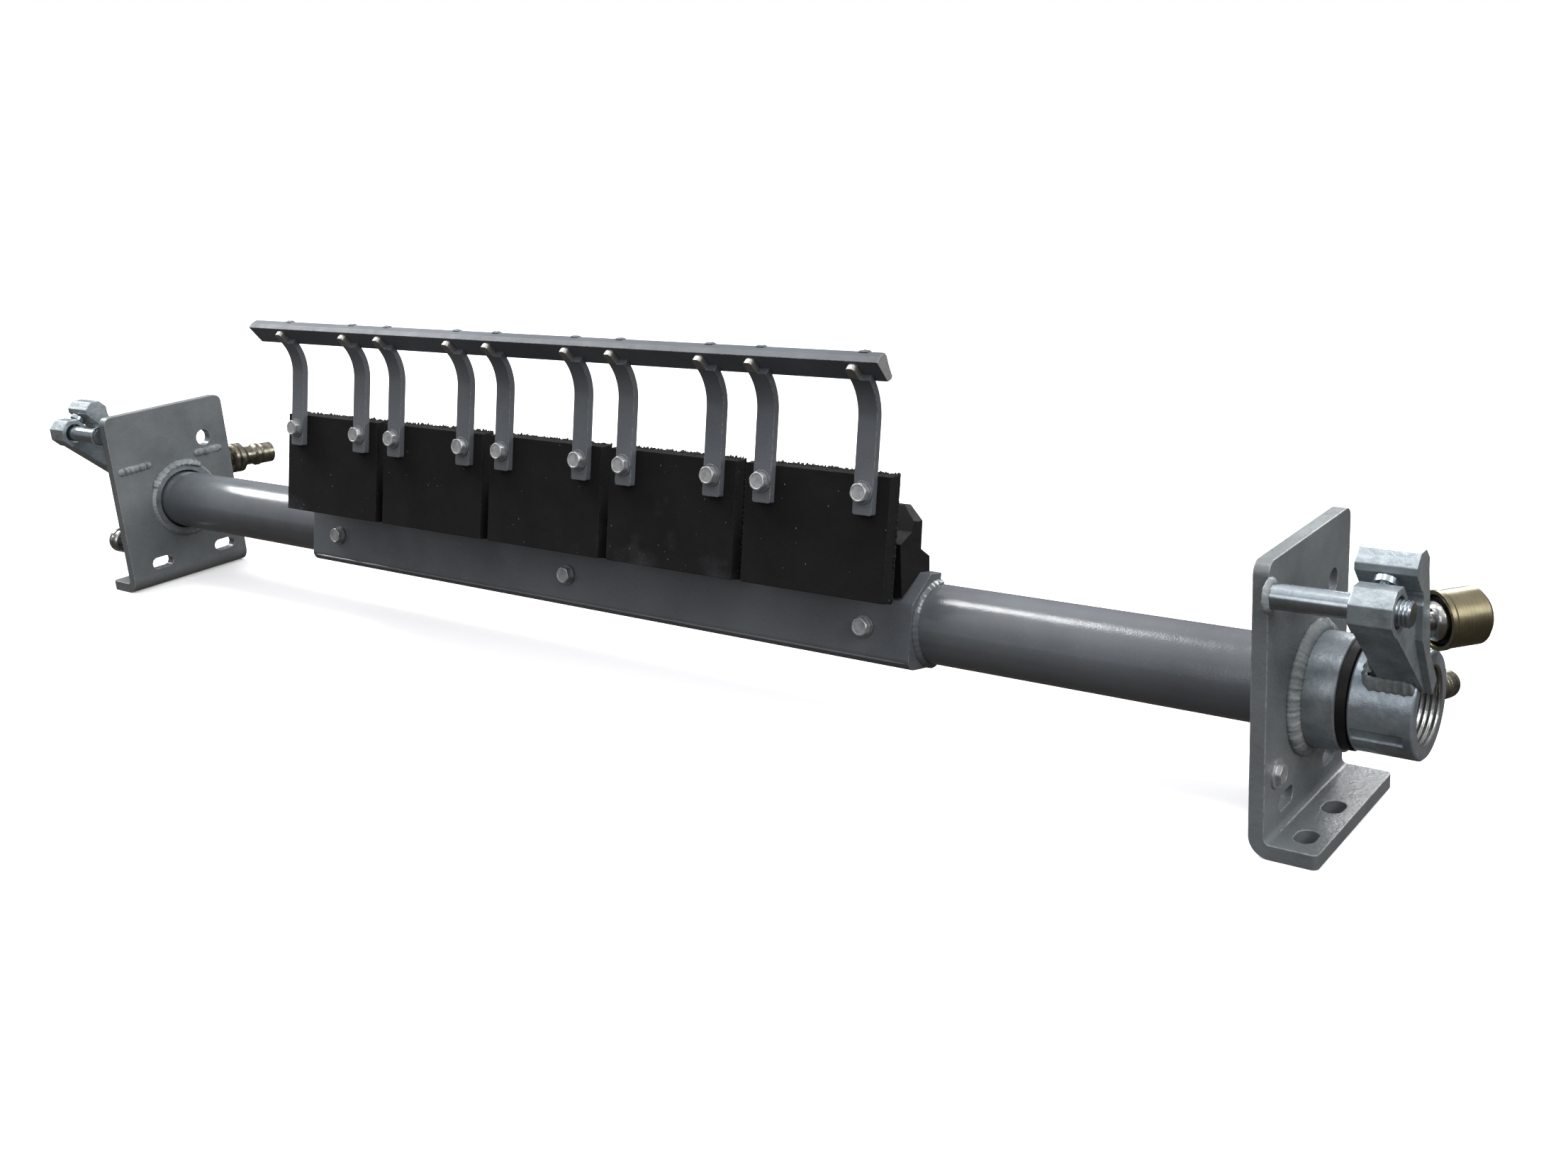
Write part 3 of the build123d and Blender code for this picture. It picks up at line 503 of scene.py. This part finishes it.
def makeTurnedSteel(look, name):
    f = Finish(name)
    f.height(f.noise(900, 2, 0.5, where=f.stretched((1, 0.05, 0.05))), look["rings"])
    colour = f.ramp(f.noise(120, 4, 0.6), [(0.35, tint(look["dark"])), (0.65, tint(look["base"]))])
    return f.finish(colour, f.between(f.noise(260, 3, 0.6), look["shine"]), 1.0, soften=look["soften"])


# dark bronze nipples
nippleBronze = {
    "base": "6f6b5e", "dark": "45423a", "light": "96928a", "grain": 0.00008, "shine": (0.24, 0.40),
    "metal": 0.9, "soften": 0.0008,
}


def makeNippleBronze(look, name):
    f = Finish(name)
    colour = f.shades(f.noise(120, 5, 0.6), look, (0.3, 0.5, 0.75))
    f.height(f.noise(500, 3, 0.6), look["grain"])
    rough = f.between(f.noise(200, 3, 0.6), look["shine"])
    return f.finish(colour, rough, look["metal"], soften=look["soften"])


# turned brass sleeves: fine rings round their axis, which is turned outward by "turn" degrees
sleeveBrass = {
    "base": "78715a", "dark": "5c5643", "light": "8f886e", "stain": "4c4635", "turn": 39, "ringScale": 2600,
    "rings": 0.00003, "shine": (0.24, 0.38), "metal": 0.92, "soften": 0.0008,
}


def makeSleeveBrass(look, name, side):
    f = Finish(name)
    turn = math.radians(look["turn"])
    rings = f.node("ShaderNodeTexNoise", noise_dimensions="1D")
    rings.inputs["Scale"].default_value = look["ringScale"]
    rings.inputs["Detail"].default_value = 3
    f.join(f.along((side * math.sin(turn), math.cos(turn), 0)), rings.inputs["W"])
    colour = f.shades(rings.outputs["Fac"], look, (0.3, 0.5, 0.72))
    colour = f.over(colour, f.rise(f.noise(45, 5, 0.65), 0.45, 0.75), 0.5, look["stain"])
    f.height(rings.outputs["Fac"], look["rings"])
    rough = f.between(f.noise(120, 4, 0.6), look["shine"])
    return f.finish(colour, rough, look["metal"], soften=look["soften"])


# black moulded rubber: matt, with a few pale specks, soft dust smudges and rough edges
padRubber = {
    "base": "0b0b0c", "light": "151516", "dust": "8b8b88", "edge": "464645", "smudge": "5d5e62",
    "grain": 0.00008, "waves": 0.00015, "shine": (0.55, 0.75), "gloss": 0.18, "soften": 0.0010,
}


def makeRubber(look, name):
    f = Finish(name)
    colour = f.ramp(f.noise(22, 6, 0.65), [(0.35, tint(look["base"])), (0.7, tint(look["light"]))])
    patches = f.rise(f.noise(13, 4, 0.55), 0.60, 0.80)
    haze = f.maths("MULTIPLY", patches, f.ramp(f.noise(600, 4, 0.7), [(0.35, 0.3), (0.7, 1.0)]))
    colour = f.over(colour, haze, 0.45, look["smudge"])
    grains = f.ramp(f.cells(190), [(0.06, 1.0), (0.11, 0.0)])
    specks = f.maths("MULTIPLY", grains, f.rise(f.noise(95, 3, 0.6), 0.56, 0.60))
    colour = f.over(colour, specks, 0.7, look["dust"])
    colour = f.over(colour, f.worn(0.0010, f.noise(420, 5, 0.75), 0.46, 0.62), 0.8, look["edge"])
    f.height(f.noise(1000, 4, 0.6), look["grain"])
    f.height(f.noise(160, 4, 0.6), look["waves"])
    rough = f.between(f.noise(160, 4, 0.6), look["shine"])
    return f.finish(colour, rough, soften=look["soften"], gloss=look["gloss"])


# black bushes between the tube and its housings
bushPlastic = {"base": "0b0b0c", "light": "161617", "grain": 0.0001, "shine": (0.42, 0.6), "gloss": 0.25}


def makeBushPlastic(look, name):
    f = Finish(name)
    f.height(f.noise(500, 3, 0.5), look["grain"])
    colour = f.ramp(f.noise(90, 4, 0.6), [(0.35, tint(look["base"])), (0.7, tint(look["light"]))])
    return f.finish(colour, f.between(f.noise(200, 3, 0.5), look["shine"]), gloss=look["gloss"])


plateFinish = makePlatePaint(platePaint, "platePaint")
# paler paint for the weld beads, a painted highlight
weldPaintedHighlightFinish = makePlatePaint(weldPaintPaintedHighlight, "weldPaintPaintedHighlight")
tubeFinish = makeTubePaint(tubePaint, "tubePaint")
barFinish = makeTubePaint(barPaint, "barPaint", bareEnd=True)
armFinish = makeTubePaint(tubePaint, "armPaint", bareNose=True)
leverFinish = makeCasting(leverCast, "leverCasting")
hubFinish = makeCasting(hubCast, "hubCasting", bareThread=True)
housingFinish = makeCasting(housingCast, "housingSteel")
zincFinish = makeZincSteel(zincSteel, "zincSteel")
rodFinish = makeZincSteel(rodSteel, "rodSteel")
washerFinish = makeZincSteel(washerSteel, "washerSteel")
knobFinish = makeTurnedSteel(turnedSteel, "polishedMetal")
nippleFinish = makeNippleBronze(nippleBronze, "nippleBronze")
rubberFinish = makeRubber(padRubber, "padRubber")
plasticFinish = makeBushPlastic(bushPlastic, "bushPlastic")
bothEnds = (("left", -1), ("right", 1))

for end, side in bothEnds:
    dress(plateFinish, f"side_plate_{end}")
    dress(housingFinish, f"bush_housing_{end}")
    dress(leverFinish, f"tension_lever_{end}")
    dress(hubFinish, f"threaded_hub_{end}")
    dress(rodFinish, f"anchor_stud_{end}", f"set_screw_{end}")
    dress(knobFinish, f"ball_stud_{end}")
    dress(rubberFinish, f"buffer_ring_{end}")
    dress(plasticFinish, f"polymer_bush_{end}")
    dress(makeSleeveBrass(sleeveBrass, "sleeveBrass" + end.capitalize(), side), f"buffer_sleeve_{end}")
dress(tubeFinish, "cross_tube", "mounting_saddle", "arm_washers")
dress(barFinish, "blade_bar")
dress(armFinish, *[f"spring_arm_{n:02d}" for n in range(1, 11)])
dress(zincFinish, "saddle_bolts", "arm_bolts", "arm_nuts", "corner_bolt_right")
dress(washerFinish, "saddle_washers")
dress(knobFinish, "stop_knob_left")
dress(nippleFinish, "grease_nipple_left", "hub_nipple_right")
dress(rubberFinish, *[f"spring_block_{n}" for n in range(1, 6)], *[f"face_pad_{n}" for n in range(1, 6)])
print("materials assigned")


# mesh helpers
def skin(bm, rows, closed=False, startCap=False, endCap=False):
    # joins rows of points, all equally long, into a surface
    made = [[bm.verts.new(point) for point in row] for row in rows]
    count = len(made[0])
    for low, high in zip(made, made[1:]):
        for i in range(count if closed else count - 1):
            j = (i + 1) % count
            bm.faces.new((low[i], low[j], high[j], high[i]))
    if startCap:
        bm.faces.new(list(reversed(made[0])))
    if endCap:
        bm.faces.new(made[-1])


def addPiece(name, bm, body, material, sharp=38, stands=()):
    # sharp: degrees between two faces from which their edge isn't smoothed
    bmesh.ops.recalc_face_normals(bm, faces=bm.faces)
    mesh = bpy.data.meshes.new(name)
    bm.to_mesh(mesh)
    bm.free()
    for face in mesh.polygons:
        face.use_smooth = True
    mesh.set_sharp_from_angle(angle=math.radians(sharp))
    mesh.materials.append(material)
    piece = bpy.data.objects.new(name, mesh)
    bpy.context.scene.collection.objects.link(piece)
    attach(piece, body)
    if stands:
        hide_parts(*stands)


def facing(origin, outward):
    # matrix whose z runs outward from a face
    z = Vector(outward).normalized()
    x = Vector((0, 0, 1)).cross(z).normalized()
    y = z.cross(x)
    return Matrix.Translation(origin) @ Matrix((x, y, z)).transposed().to_4x4()


def roundAngles(steps):
    return [math.radians(360 / steps * i) for i in range(steps)]


# hexagon bolts in millimetres: chamfered heads with a sunk top, and a threaded end where it shows
hexBolt = {
    "flats": 13.0, "high": 5.5, "round": 1.08, "crown": 0.96, "chamfer": 0.58, "lift": 0.02, "steps": 48,
    "top": ((0.90, 0.0), (0.86, 0.22), (0.45, 0.3), (0.02, 0.3)),     # share of the crown, depth
    "shank": 4.0, "pitch": 1.25, "thread": 0.6, "tip": 0.8,
}


def addBolt(bm, place, look, shankLength, threadLength=0.0, spin=0.0):
    angles = roundAngles(look["steps"])
    apothem = look["flats"] / 2
    crown = apothem * look["crown"]
    high = look["high"]
    sixth = math.pi / 3
    # a hexagon with its corners turned off
    hexagon = [min(apothem / math.cos((a + sixth / 2) % sixth - sixth / 2), apothem * look["round"])
               for a in angles]

    def row(radii, heights):
        return [place @ (Vector((r * math.cos(a + spin), r * math.sin(a + spin), h)) / 1000)
                for a, r, h in zip(angles, radii, heights)]

    def ring(radius, height):
        return row([radius] * len(angles), [height] * len(angles))

    sides = [high - max(0.0, r - crown) * look["chamfer"] for r in hexagon]
    rows = [row(hexagon, [look["lift"]] * len(angles)), row(hexagon, sides), ring(crown, high)]
    rows += [ring(crown * share, high - depth) for share, depth in look["top"]]
    skin(bm, rows, closed=True, startCap=True, endCap=True)
    threadStart = -(shankLength - threadLength)
    rows = [ring(look["shank"], 0.0), ring(look["shank"], threadStart)]
    for turn in range(int(threadLength / look["pitch"] * 2)):
        radius = look["shank"] - look["thread"] * (1 - turn % 2)
        rows.append(ring(radius, threadStart - (turn + 0.5) * look["pitch"] / 2))
    rows.append(ring(look["shank"] * look["tip"], -shankLength))
    skin(bm, rows, closed=True, startCap=True, endCap=True)


# the bolts' y and z on the blade frame, their shanks, and how far each is turned on from the one before
armBolt = {"place": (-75.8, 98.2), "shank": 27.9, "thread": 4.0, "spin": 0.55}
saddleBolt = {"spots": (-308, 0, 308), "place": (-37.1, -4.4), "shank": 10.6, "spin": 0.4}
# bolt low on the right side plate, in the part's frame
lowBolt = {
    "head": dict(hexBolt, flats=12.4, high=3.4), "centre": (-58.0, -37.5), "seat": 632.5,
    "shank": 9.6, "spin": 0.3,
    "washer": ((4.5, 0.0), (10.0, 0.0), (10.0, 1.3), (9.6, 1.6), (4.5, 1.6)),     # radius, height
}


def makeArmBolts():
    bm = bmesh.new()
    for number, x in enumerate(armSpots):
        addBolt(bm, facing(onBlade(x, *armBolt["place"]), bladeWay(-1, 0)), hexBolt, armBolt["shank"],
                armBolt["thread"], spin=number * armBolt["spin"])
    addPiece("armBolts", bm, "blade_set", zincFinish, stands=("arm_bolts",))


def makeSaddleBolts():
    bm = bmesh.new()
    for number, x in enumerate(saddleBolt["spots"]):
        addBolt(bm, facing(onBlade(x, *saddleBolt["place"]), bladeWay(-1, 0)), hexBolt, saddleBolt["shank"],
                spin=number * saddleBolt["spin"])
    addPiece("saddleBolts", bm, "turning_tube", zincFinish, stands=("saddle_bolts",))


def makeLowBolt():
    bm = bmesh.new()
    y, z = lowBolt["centre"]
    washerHigh = max(height for radius, height in lowBolt["washer"])
    headFoot = Vector((lowBolt["seat"] + washerHigh, y, z)) / 1000
    addBolt(bm, facing(headFoot, (1, 0, 0)), lowBolt["head"], lowBolt["shank"], spin=lowBolt["spin"])
    angles = roundAngles(hexBolt["steps"])
    rows = [[Vector((lowBolt["seat"] + height, y + radius * math.cos(a), z + radius * math.sin(a))) / 1000
             for a in angles] for radius, height in lowBolt["washer"]]
    skin(bm, rows, closed=True)
    addPiece("lowBolt", bm, "frame", zincFinish, stands=("corner_bolt_right",))


makeArmBolts()
makeSaddleBolts()
makeLowBolt()
print("bolts made")

# weld beads, in millimetres: flattened ripples that follow a corner
beads = {
    "housing": {"leg": 6.5, "high": 2.2, "ripple": 3.4}, "stud": {"leg": 3.2, "high": 0.8, "ripple": 2.0},
    "saddle": {"leg": 3.6, "high": 0.6, "ripple": 5.0}, "lever": {"leg": 7.0, "high": 1.4, "ripple": 5.0},
    "seam": {"leg": 5.6, "high": 2.8, "ripple": 4.2}, "seatTop": {"leg": 5.5, "high": 1.5, "ripple": 4.2},
    "seatRing": {"leg": 3.0, "high": 0.4, "ripple": 4.2}, "bar": {"leg": 5.0, "high": 2.6, "ripple": 40.0},
    "saddleEdge": {"leg": 1.6, "high": 0.9, "ripple": 400.0},
}
# form of every bead: the arc of its section, sunk a little, then its ends, ripple and lumps
beadForm = {
    "width": 1.414, "steps": 8, "from": -12, "sweep": 204, "sunk": 0.15, "sharp": 70,
    "taperRows": 5, "end": 0.12, "rippleHigh": 0.22, "rippleWide": 0.07,
    "lumpGrain": 0.35, "wideGrain": 0.3, "bump": 0.18, "bumpGrain": 0.9, "bumpStep": 0.8,
}


def addBead(bm, route, look, seed, closed=False, rough=0.35):
    # route: points in millimetres, each with the direction across the bead and the direction out of it
    rows = []
    width = look["leg"] * beadForm["width"]
    run = 0.0
    last = route[0][0]
    for index, (point, across, out) in enumerate(route):
        run += (point - last).length
        last = point
        taper = 1.0
        if not closed:
            fromEnd = min(index, len(route) - 1 - index)
            reach = min(1.0, fromEnd / min(beadForm["taperRows"], len(route) / 2))
            taper = max(beadForm["end"], math.sqrt(1 - (1 - reach) ** 2))
        wave = math.sin(2 * math.pi * run / look["ripple"])
        # each seed reads the noise at another place
        lump = noise.noise(Vector((run * beadForm["lumpGrain"], seed * 7.3, 0)))
        spread = noise.noise(Vector((run * beadForm["wideGrain"], seed * 3.1, 5)))
        high = look["high"] * taper * (1 + beadForm["rippleHigh"] * wave + rough * lump * 2)
        wide = width * taper * (1 + beadForm["rippleWide"] * wave + rough * 0.3 * spread)
        row = []
        for step in range(beadForm["steps"] + 1):
            angle = math.radians(beadForm["from"] + beadForm["sweep"] * step / beadForm["steps"])
            spot = Vector((run * beadForm["bumpGrain"], step * beadForm["bumpStep"], seed))
            bump = beadForm["bump"] * look["high"] * noise.noise(spot)
            rise = math.sin(angle) * high + bump - beadForm["sunk"]
            row.append((point + across * (math.cos(angle) * wide / 2) + out * rise) / 1000)
        rows.append(row)
    if closed:
        rows.append(rows[0])
    skin(bm, rows, startCap=not closed, endCap=not closed)


def ringRoute(x, radius, outX, leg, start=0, stop=360, step=1.6, centre=(0, 0)):
    # round a tube or rod that stands on a face across X
    route = []
    sweep = stop - start
    count = int(sweep / step)
    for i in range(count if sweep == 360 else count + 1):
        angle = math.radians(start + sweep * i / count)
        radial = Vector((0, math.cos(angle), math.sin(angle)))
        away = Vector((outX, 0, 0))
        middle = Vector((x + outX * leg / 2, *centre)) + radial * (radius + leg / 2)
        route.append((middle, (radial - away).normalized(), (radial + away).normalized()))
    return route


def seamRoute(start, end, across, out, step=0.9):
    start, end = Vector(start), Vector(end)
    count = max(4, int((end - start).length / step))
    return [(start.lerp(end, i / count), Vector(across), Vector(out)) for i in range(count + 1)]


# the side plates' faces, the y and z of what is welded there, and the angles of the bead over the seat
sidePlate = {
    "inner": 622.5, "outer": 632.5, "seatRadius": 38.05, "stud": (-78, 85), "studRadius": 8, "studStep": 8,
    "frontSeam": ((-73, 45), (-34, 46)), "rearSeam": ((19, 46.5), (54, 46.5)), "seatTop": (52, 150),
}


def makePlateWelds(end, side):
    # round the housing and the anchor stud, on the outer face
    outer = side * sidePlate["outer"]
    bm = bmesh.new()
    route = ringRoute(outer, sidePlate["seatRadius"], side, beads["housing"]["leg"])
    addBead(bm, route, beads["housing"], 1 + side, closed=True)
    route = ringRoute(outer, sidePlate["studRadius"], side, beads["stud"]["leg"], step=sidePlate["studStep"],
                      centre=sidePlate["stud"])
    addBead(bm, route, beads["stud"], 4 + side, closed=True)
    # the beads get the paler weld paint, a painted highlight
    addPiece(f"plateWelds_{end}", bm, "frame", weldPaintedHighlightFinish, sharp=beadForm["sharp"])


def makeSeamWelds(end, side):
    # two level seams and the seat of the housing, on the inner face
    inner = side * sidePlate["inner"]
    bm = bmesh.new()
    for seam, seed in (("frontSeam", 11), ("rearSeam", 12)):
        near, far = sidePlate[seam]
        route = seamRoute((inner, *near), (inner, *far), (0, 0, 1), (-side, 0, 0))
        addBead(bm, route, beads["seam"], seed + side, rough=0.9)
    route = ringRoute(inner, sidePlate["seatRadius"], -side, beads["seatTop"]["leg"], *sidePlate["seatTop"])
    addBead(bm, route, beads["seatTop"], 13 + side, rough=0.9)
    route = ringRoute(inner, sidePlate["seatRadius"], -side, beads["seatRing"]["leg"])
    addBead(bm, route, beads["seatRing"], 14 + side, closed=True, rough=0.1)
    # the beads get the paler weld paint, a painted highlight
    addPiece(f"seamWelds_{end}", bm, "frame", weldPaintedHighlightFinish, sharp=beadForm["sharp"])


# the saddle's ends and its rolled lower front edge
saddle = {"half": 349, "seatRadius": 30.2, "welded": (84, 272), "edgeHalf": 347, "edge": (-35.0, -27.1),
          "edgeWay": (-0.34, -0.94), "edgeStep": 4}


def makeSaddleWeld(end, side):
    # round the front of the tube, turned with the blade frame
    bm = bmesh.new()
    turned = Matrix.Rotation(math.radians(-blade["lean"]), 4, "X")
    ring = ringRoute(side * saddle["half"], saddle["seatRadius"], side, beads["saddle"]["leg"],
                     *saddle["welded"])
    route = [(turned @ point, turned @ across, turned @ out) for point, across, out in ring]
    addBead(bm, route, beads["saddle"], 21 + side, rough=0.3)
    addPiece(f"saddleWeld_{end}", bm, "turning_tube", tubeFinish, sharp=beadForm["sharp"])


# the lever's foot on the hub: angles of its front and back, and where it starts and ends along the hub
leverFoot = {"hubRadius": 35, "front": 142.3, "back": 119, "outer": 705.5, "inner": 677.5, "rise": 0.36,
             "frontRows": 31, "roundRows": 19, "cornerRows": 4}


def makeLeverWeld(end, side):
    # along the foot's front edge and round its inner side
    bm = bmesh.new()
    front = math.radians(leverFoot["front"])
    back = math.radians(leverFoot["back"])
    rise = beads["lever"]["leg"] * leverFoot["rise"]
    inward = Vector((-side, 0, 0))
    forward = Vector((0, -math.sin(front), math.cos(front)))
    radial = Vector((0, math.cos(front), math.sin(front)))
    route = []
    for i in range(leverFoot["frontRows"] + 1):
        x = leverFoot["outer"] - (leverFoot["outer"] - leverFoot["inner"]) * i / leverFoot["frontRows"]
        middle = radial * (leverFoot["hubRadius"] + rise) + forward * rise + Vector((side * x, 0, 0))
        route.append((middle, (forward - radial).normalized(), (forward + radial).normalized()))
    for i in range(1, leverFoot["roundRows"] + 1):
        angle = front + (back - front) * i / leverFoot["roundRows"]
        radial = Vector((0, math.cos(angle), math.sin(angle)))
        middle = radial * (leverFoot["hubRadius"] + rise) + inward * rise
        middle += Vector((side * leverFoot["inner"], 0, 0))
        share = min(1.0, i / leverFoot["cornerRows"])
        away = (forward * (1 - share) + inward * share).normalized()
        route.append((middle, (away - radial).normalized(), (away + radial).normalized()))
    addBead(bm, route, beads["lever"], 31 + side, rough=0.45)
    # this bead faces down into shade; the paler weld paint lifts it as a painted highlight
    addPiece(f"leverWeld_{end}", bm, "turning_tube", weldPaintedHighlightFinish, sharp=beadForm["sharp"])


def makeSaddleEdge():
    bm = bmesh.new()
    downY, downZ = saddle["edgeWay"]
    across = bladeWay(downY, downZ).normalized()
    out = bladeWay(downZ, downY).normalized()
    start = onBlade(-saddle["edgeHalf"], *saddle["edge"]) * 1000
    end = onBlade(saddle["edgeHalf"], *saddle["edge"]) * 1000
    route = seamRoute(start, end, across, out, step=saddle["edgeStep"])
    addBead(bm, route, beads["saddleEdge"], 71, rough=0.05)
    addPiece("saddleEdge", bm, "turning_tube", tubeFinish, sharp=beadForm["sharp"])


# lumps where the arms are welded to the bar: shares of the bar's section, and millimetres along it
barLump = {"along": 0.36, "out": 0.93, "shift": 1, "half": 6.5, "vary": 1.5}


def makeBarWelds():
    bm = bmesh.new()
    for number, x in enumerate(armSpots):
        ridge = onBar(x + barLump["shift"], barLump["along"], barLump["out"]) * 1000
        half = barLump["half"] + barLump["vary"] * noise.noise(Vector((number, 2, 3)))
        spread = Vector((half, 0, 0))
        route = seamRoute(ridge - spread, ridge + spread, bladeWay(*noseRun), bladeWay(*noseOut))
        addBead(bm, route, beads["bar"], 40 + number, rough=0.15)
    addPiece("barWelds", bm, "blade_set", barFinish, sharp=beadForm["sharp"])


for end, side in bothEnds:
    makePlateWelds(end, side)
    makeSeamWelds(end, side)
    makeSaddleWeld(end, side)
    makeLeverWeld(end, side)
makeSaddleEdge()
makeBarWelds()
print("weld beads made")

# torn crumbs on the cut edges of the rubber pads, in millimetres of the blade frame
padFray = {
    "spacing": 0.8, "base": 2.2, "sunk": 0.3, "sharp": 15, "seed": 11, "grain": 0.31, "least": 0.05,
    "tall": (0.25, 1.25), "inset": (0.2, 0.8), "tear": 0.2, "crumb": (0.4, 1.0),
    "topHigh": 3.6, "middleHigh": 0.7, "sideHigh": 1.0, "footHigh": 1.4,
    "top": 111.9, "slant": 0.15, "middle": (-62.5, 111.1), "sideFrom": 20.5, "sideTo": 111.5, "foot": 19.3,
}


def addFray(bm, start, end, outward, high, look, seed):
    start, end, outward = Vector(start), Vector(end), Vector(outward)
    inward = Vector((0, -1, 0))
    count = int((end - start).length / look["spacing"])
    sunk = look["sunk"]
    rows = []
    for i in range(count + 1):
        spot = start.lerp(end, i / count)
        grain = 0.5 + 0.5 * noise.noise(Vector((i * look["grain"], seed, 0)))
        tall = high * max(look["least"], min(1.0, grain * random.uniform(*look["tall"]) - 0.1))
        edge = spot + outward * tall + inward * random.uniform(*look["inset"])
        foot = spot - outward * sunk
        points = (foot - inward * sunk, edge - inward * look["tear"],
                  edge + inward * random.uniform(*look["crumb"]), foot + inward * look["base"])
        rows.append([onBlade(*point) for point in points])
    skin(bm, rows, closed=True, startCap=True, endCap=True)


def makePadFray(number, x, look):
    # along the top's rear edge and its middle, up both rear edges of the sides, and along the foot
    bm = bmesh.new()
    left = x - blade["padWidth"] / 2
    right = x + blade["padWidth"] / 2
    back = blade["padThick"] - blade["padFace"]
    top, foot = look["top"], look["foot"]
    addFray(bm, (left, back, top), (right, back, top), (0, look["slant"], 1), look["topHigh"], look, number)
    addFray(bm, (left, *look["middle"]), (right, *look["middle"]), (0, 0, 1), look["middleHigh"], look,
            number + 30)
    for edge, outX in ((left, -1), (right, 1)):
        addFray(bm, (edge, back, look["sideFrom"]), (edge, back, look["sideTo"]), (outX, 0, 0),
                look["sideHigh"], look, number + 10)
    addFray(bm, (left, back, foot), (right, back, foot), (0, 0, -1), look["footHigh"], look, number + 20)
    addPiece(f"padFray_{number}", bm, "blade_set", rubberFinish, sharp=look["sharp"])


random.seed(padFray["seed"])
for number, x in enumerate(padSpots, start=1):
    makePadFray(number, x, padFray)
print("rubber edges made")
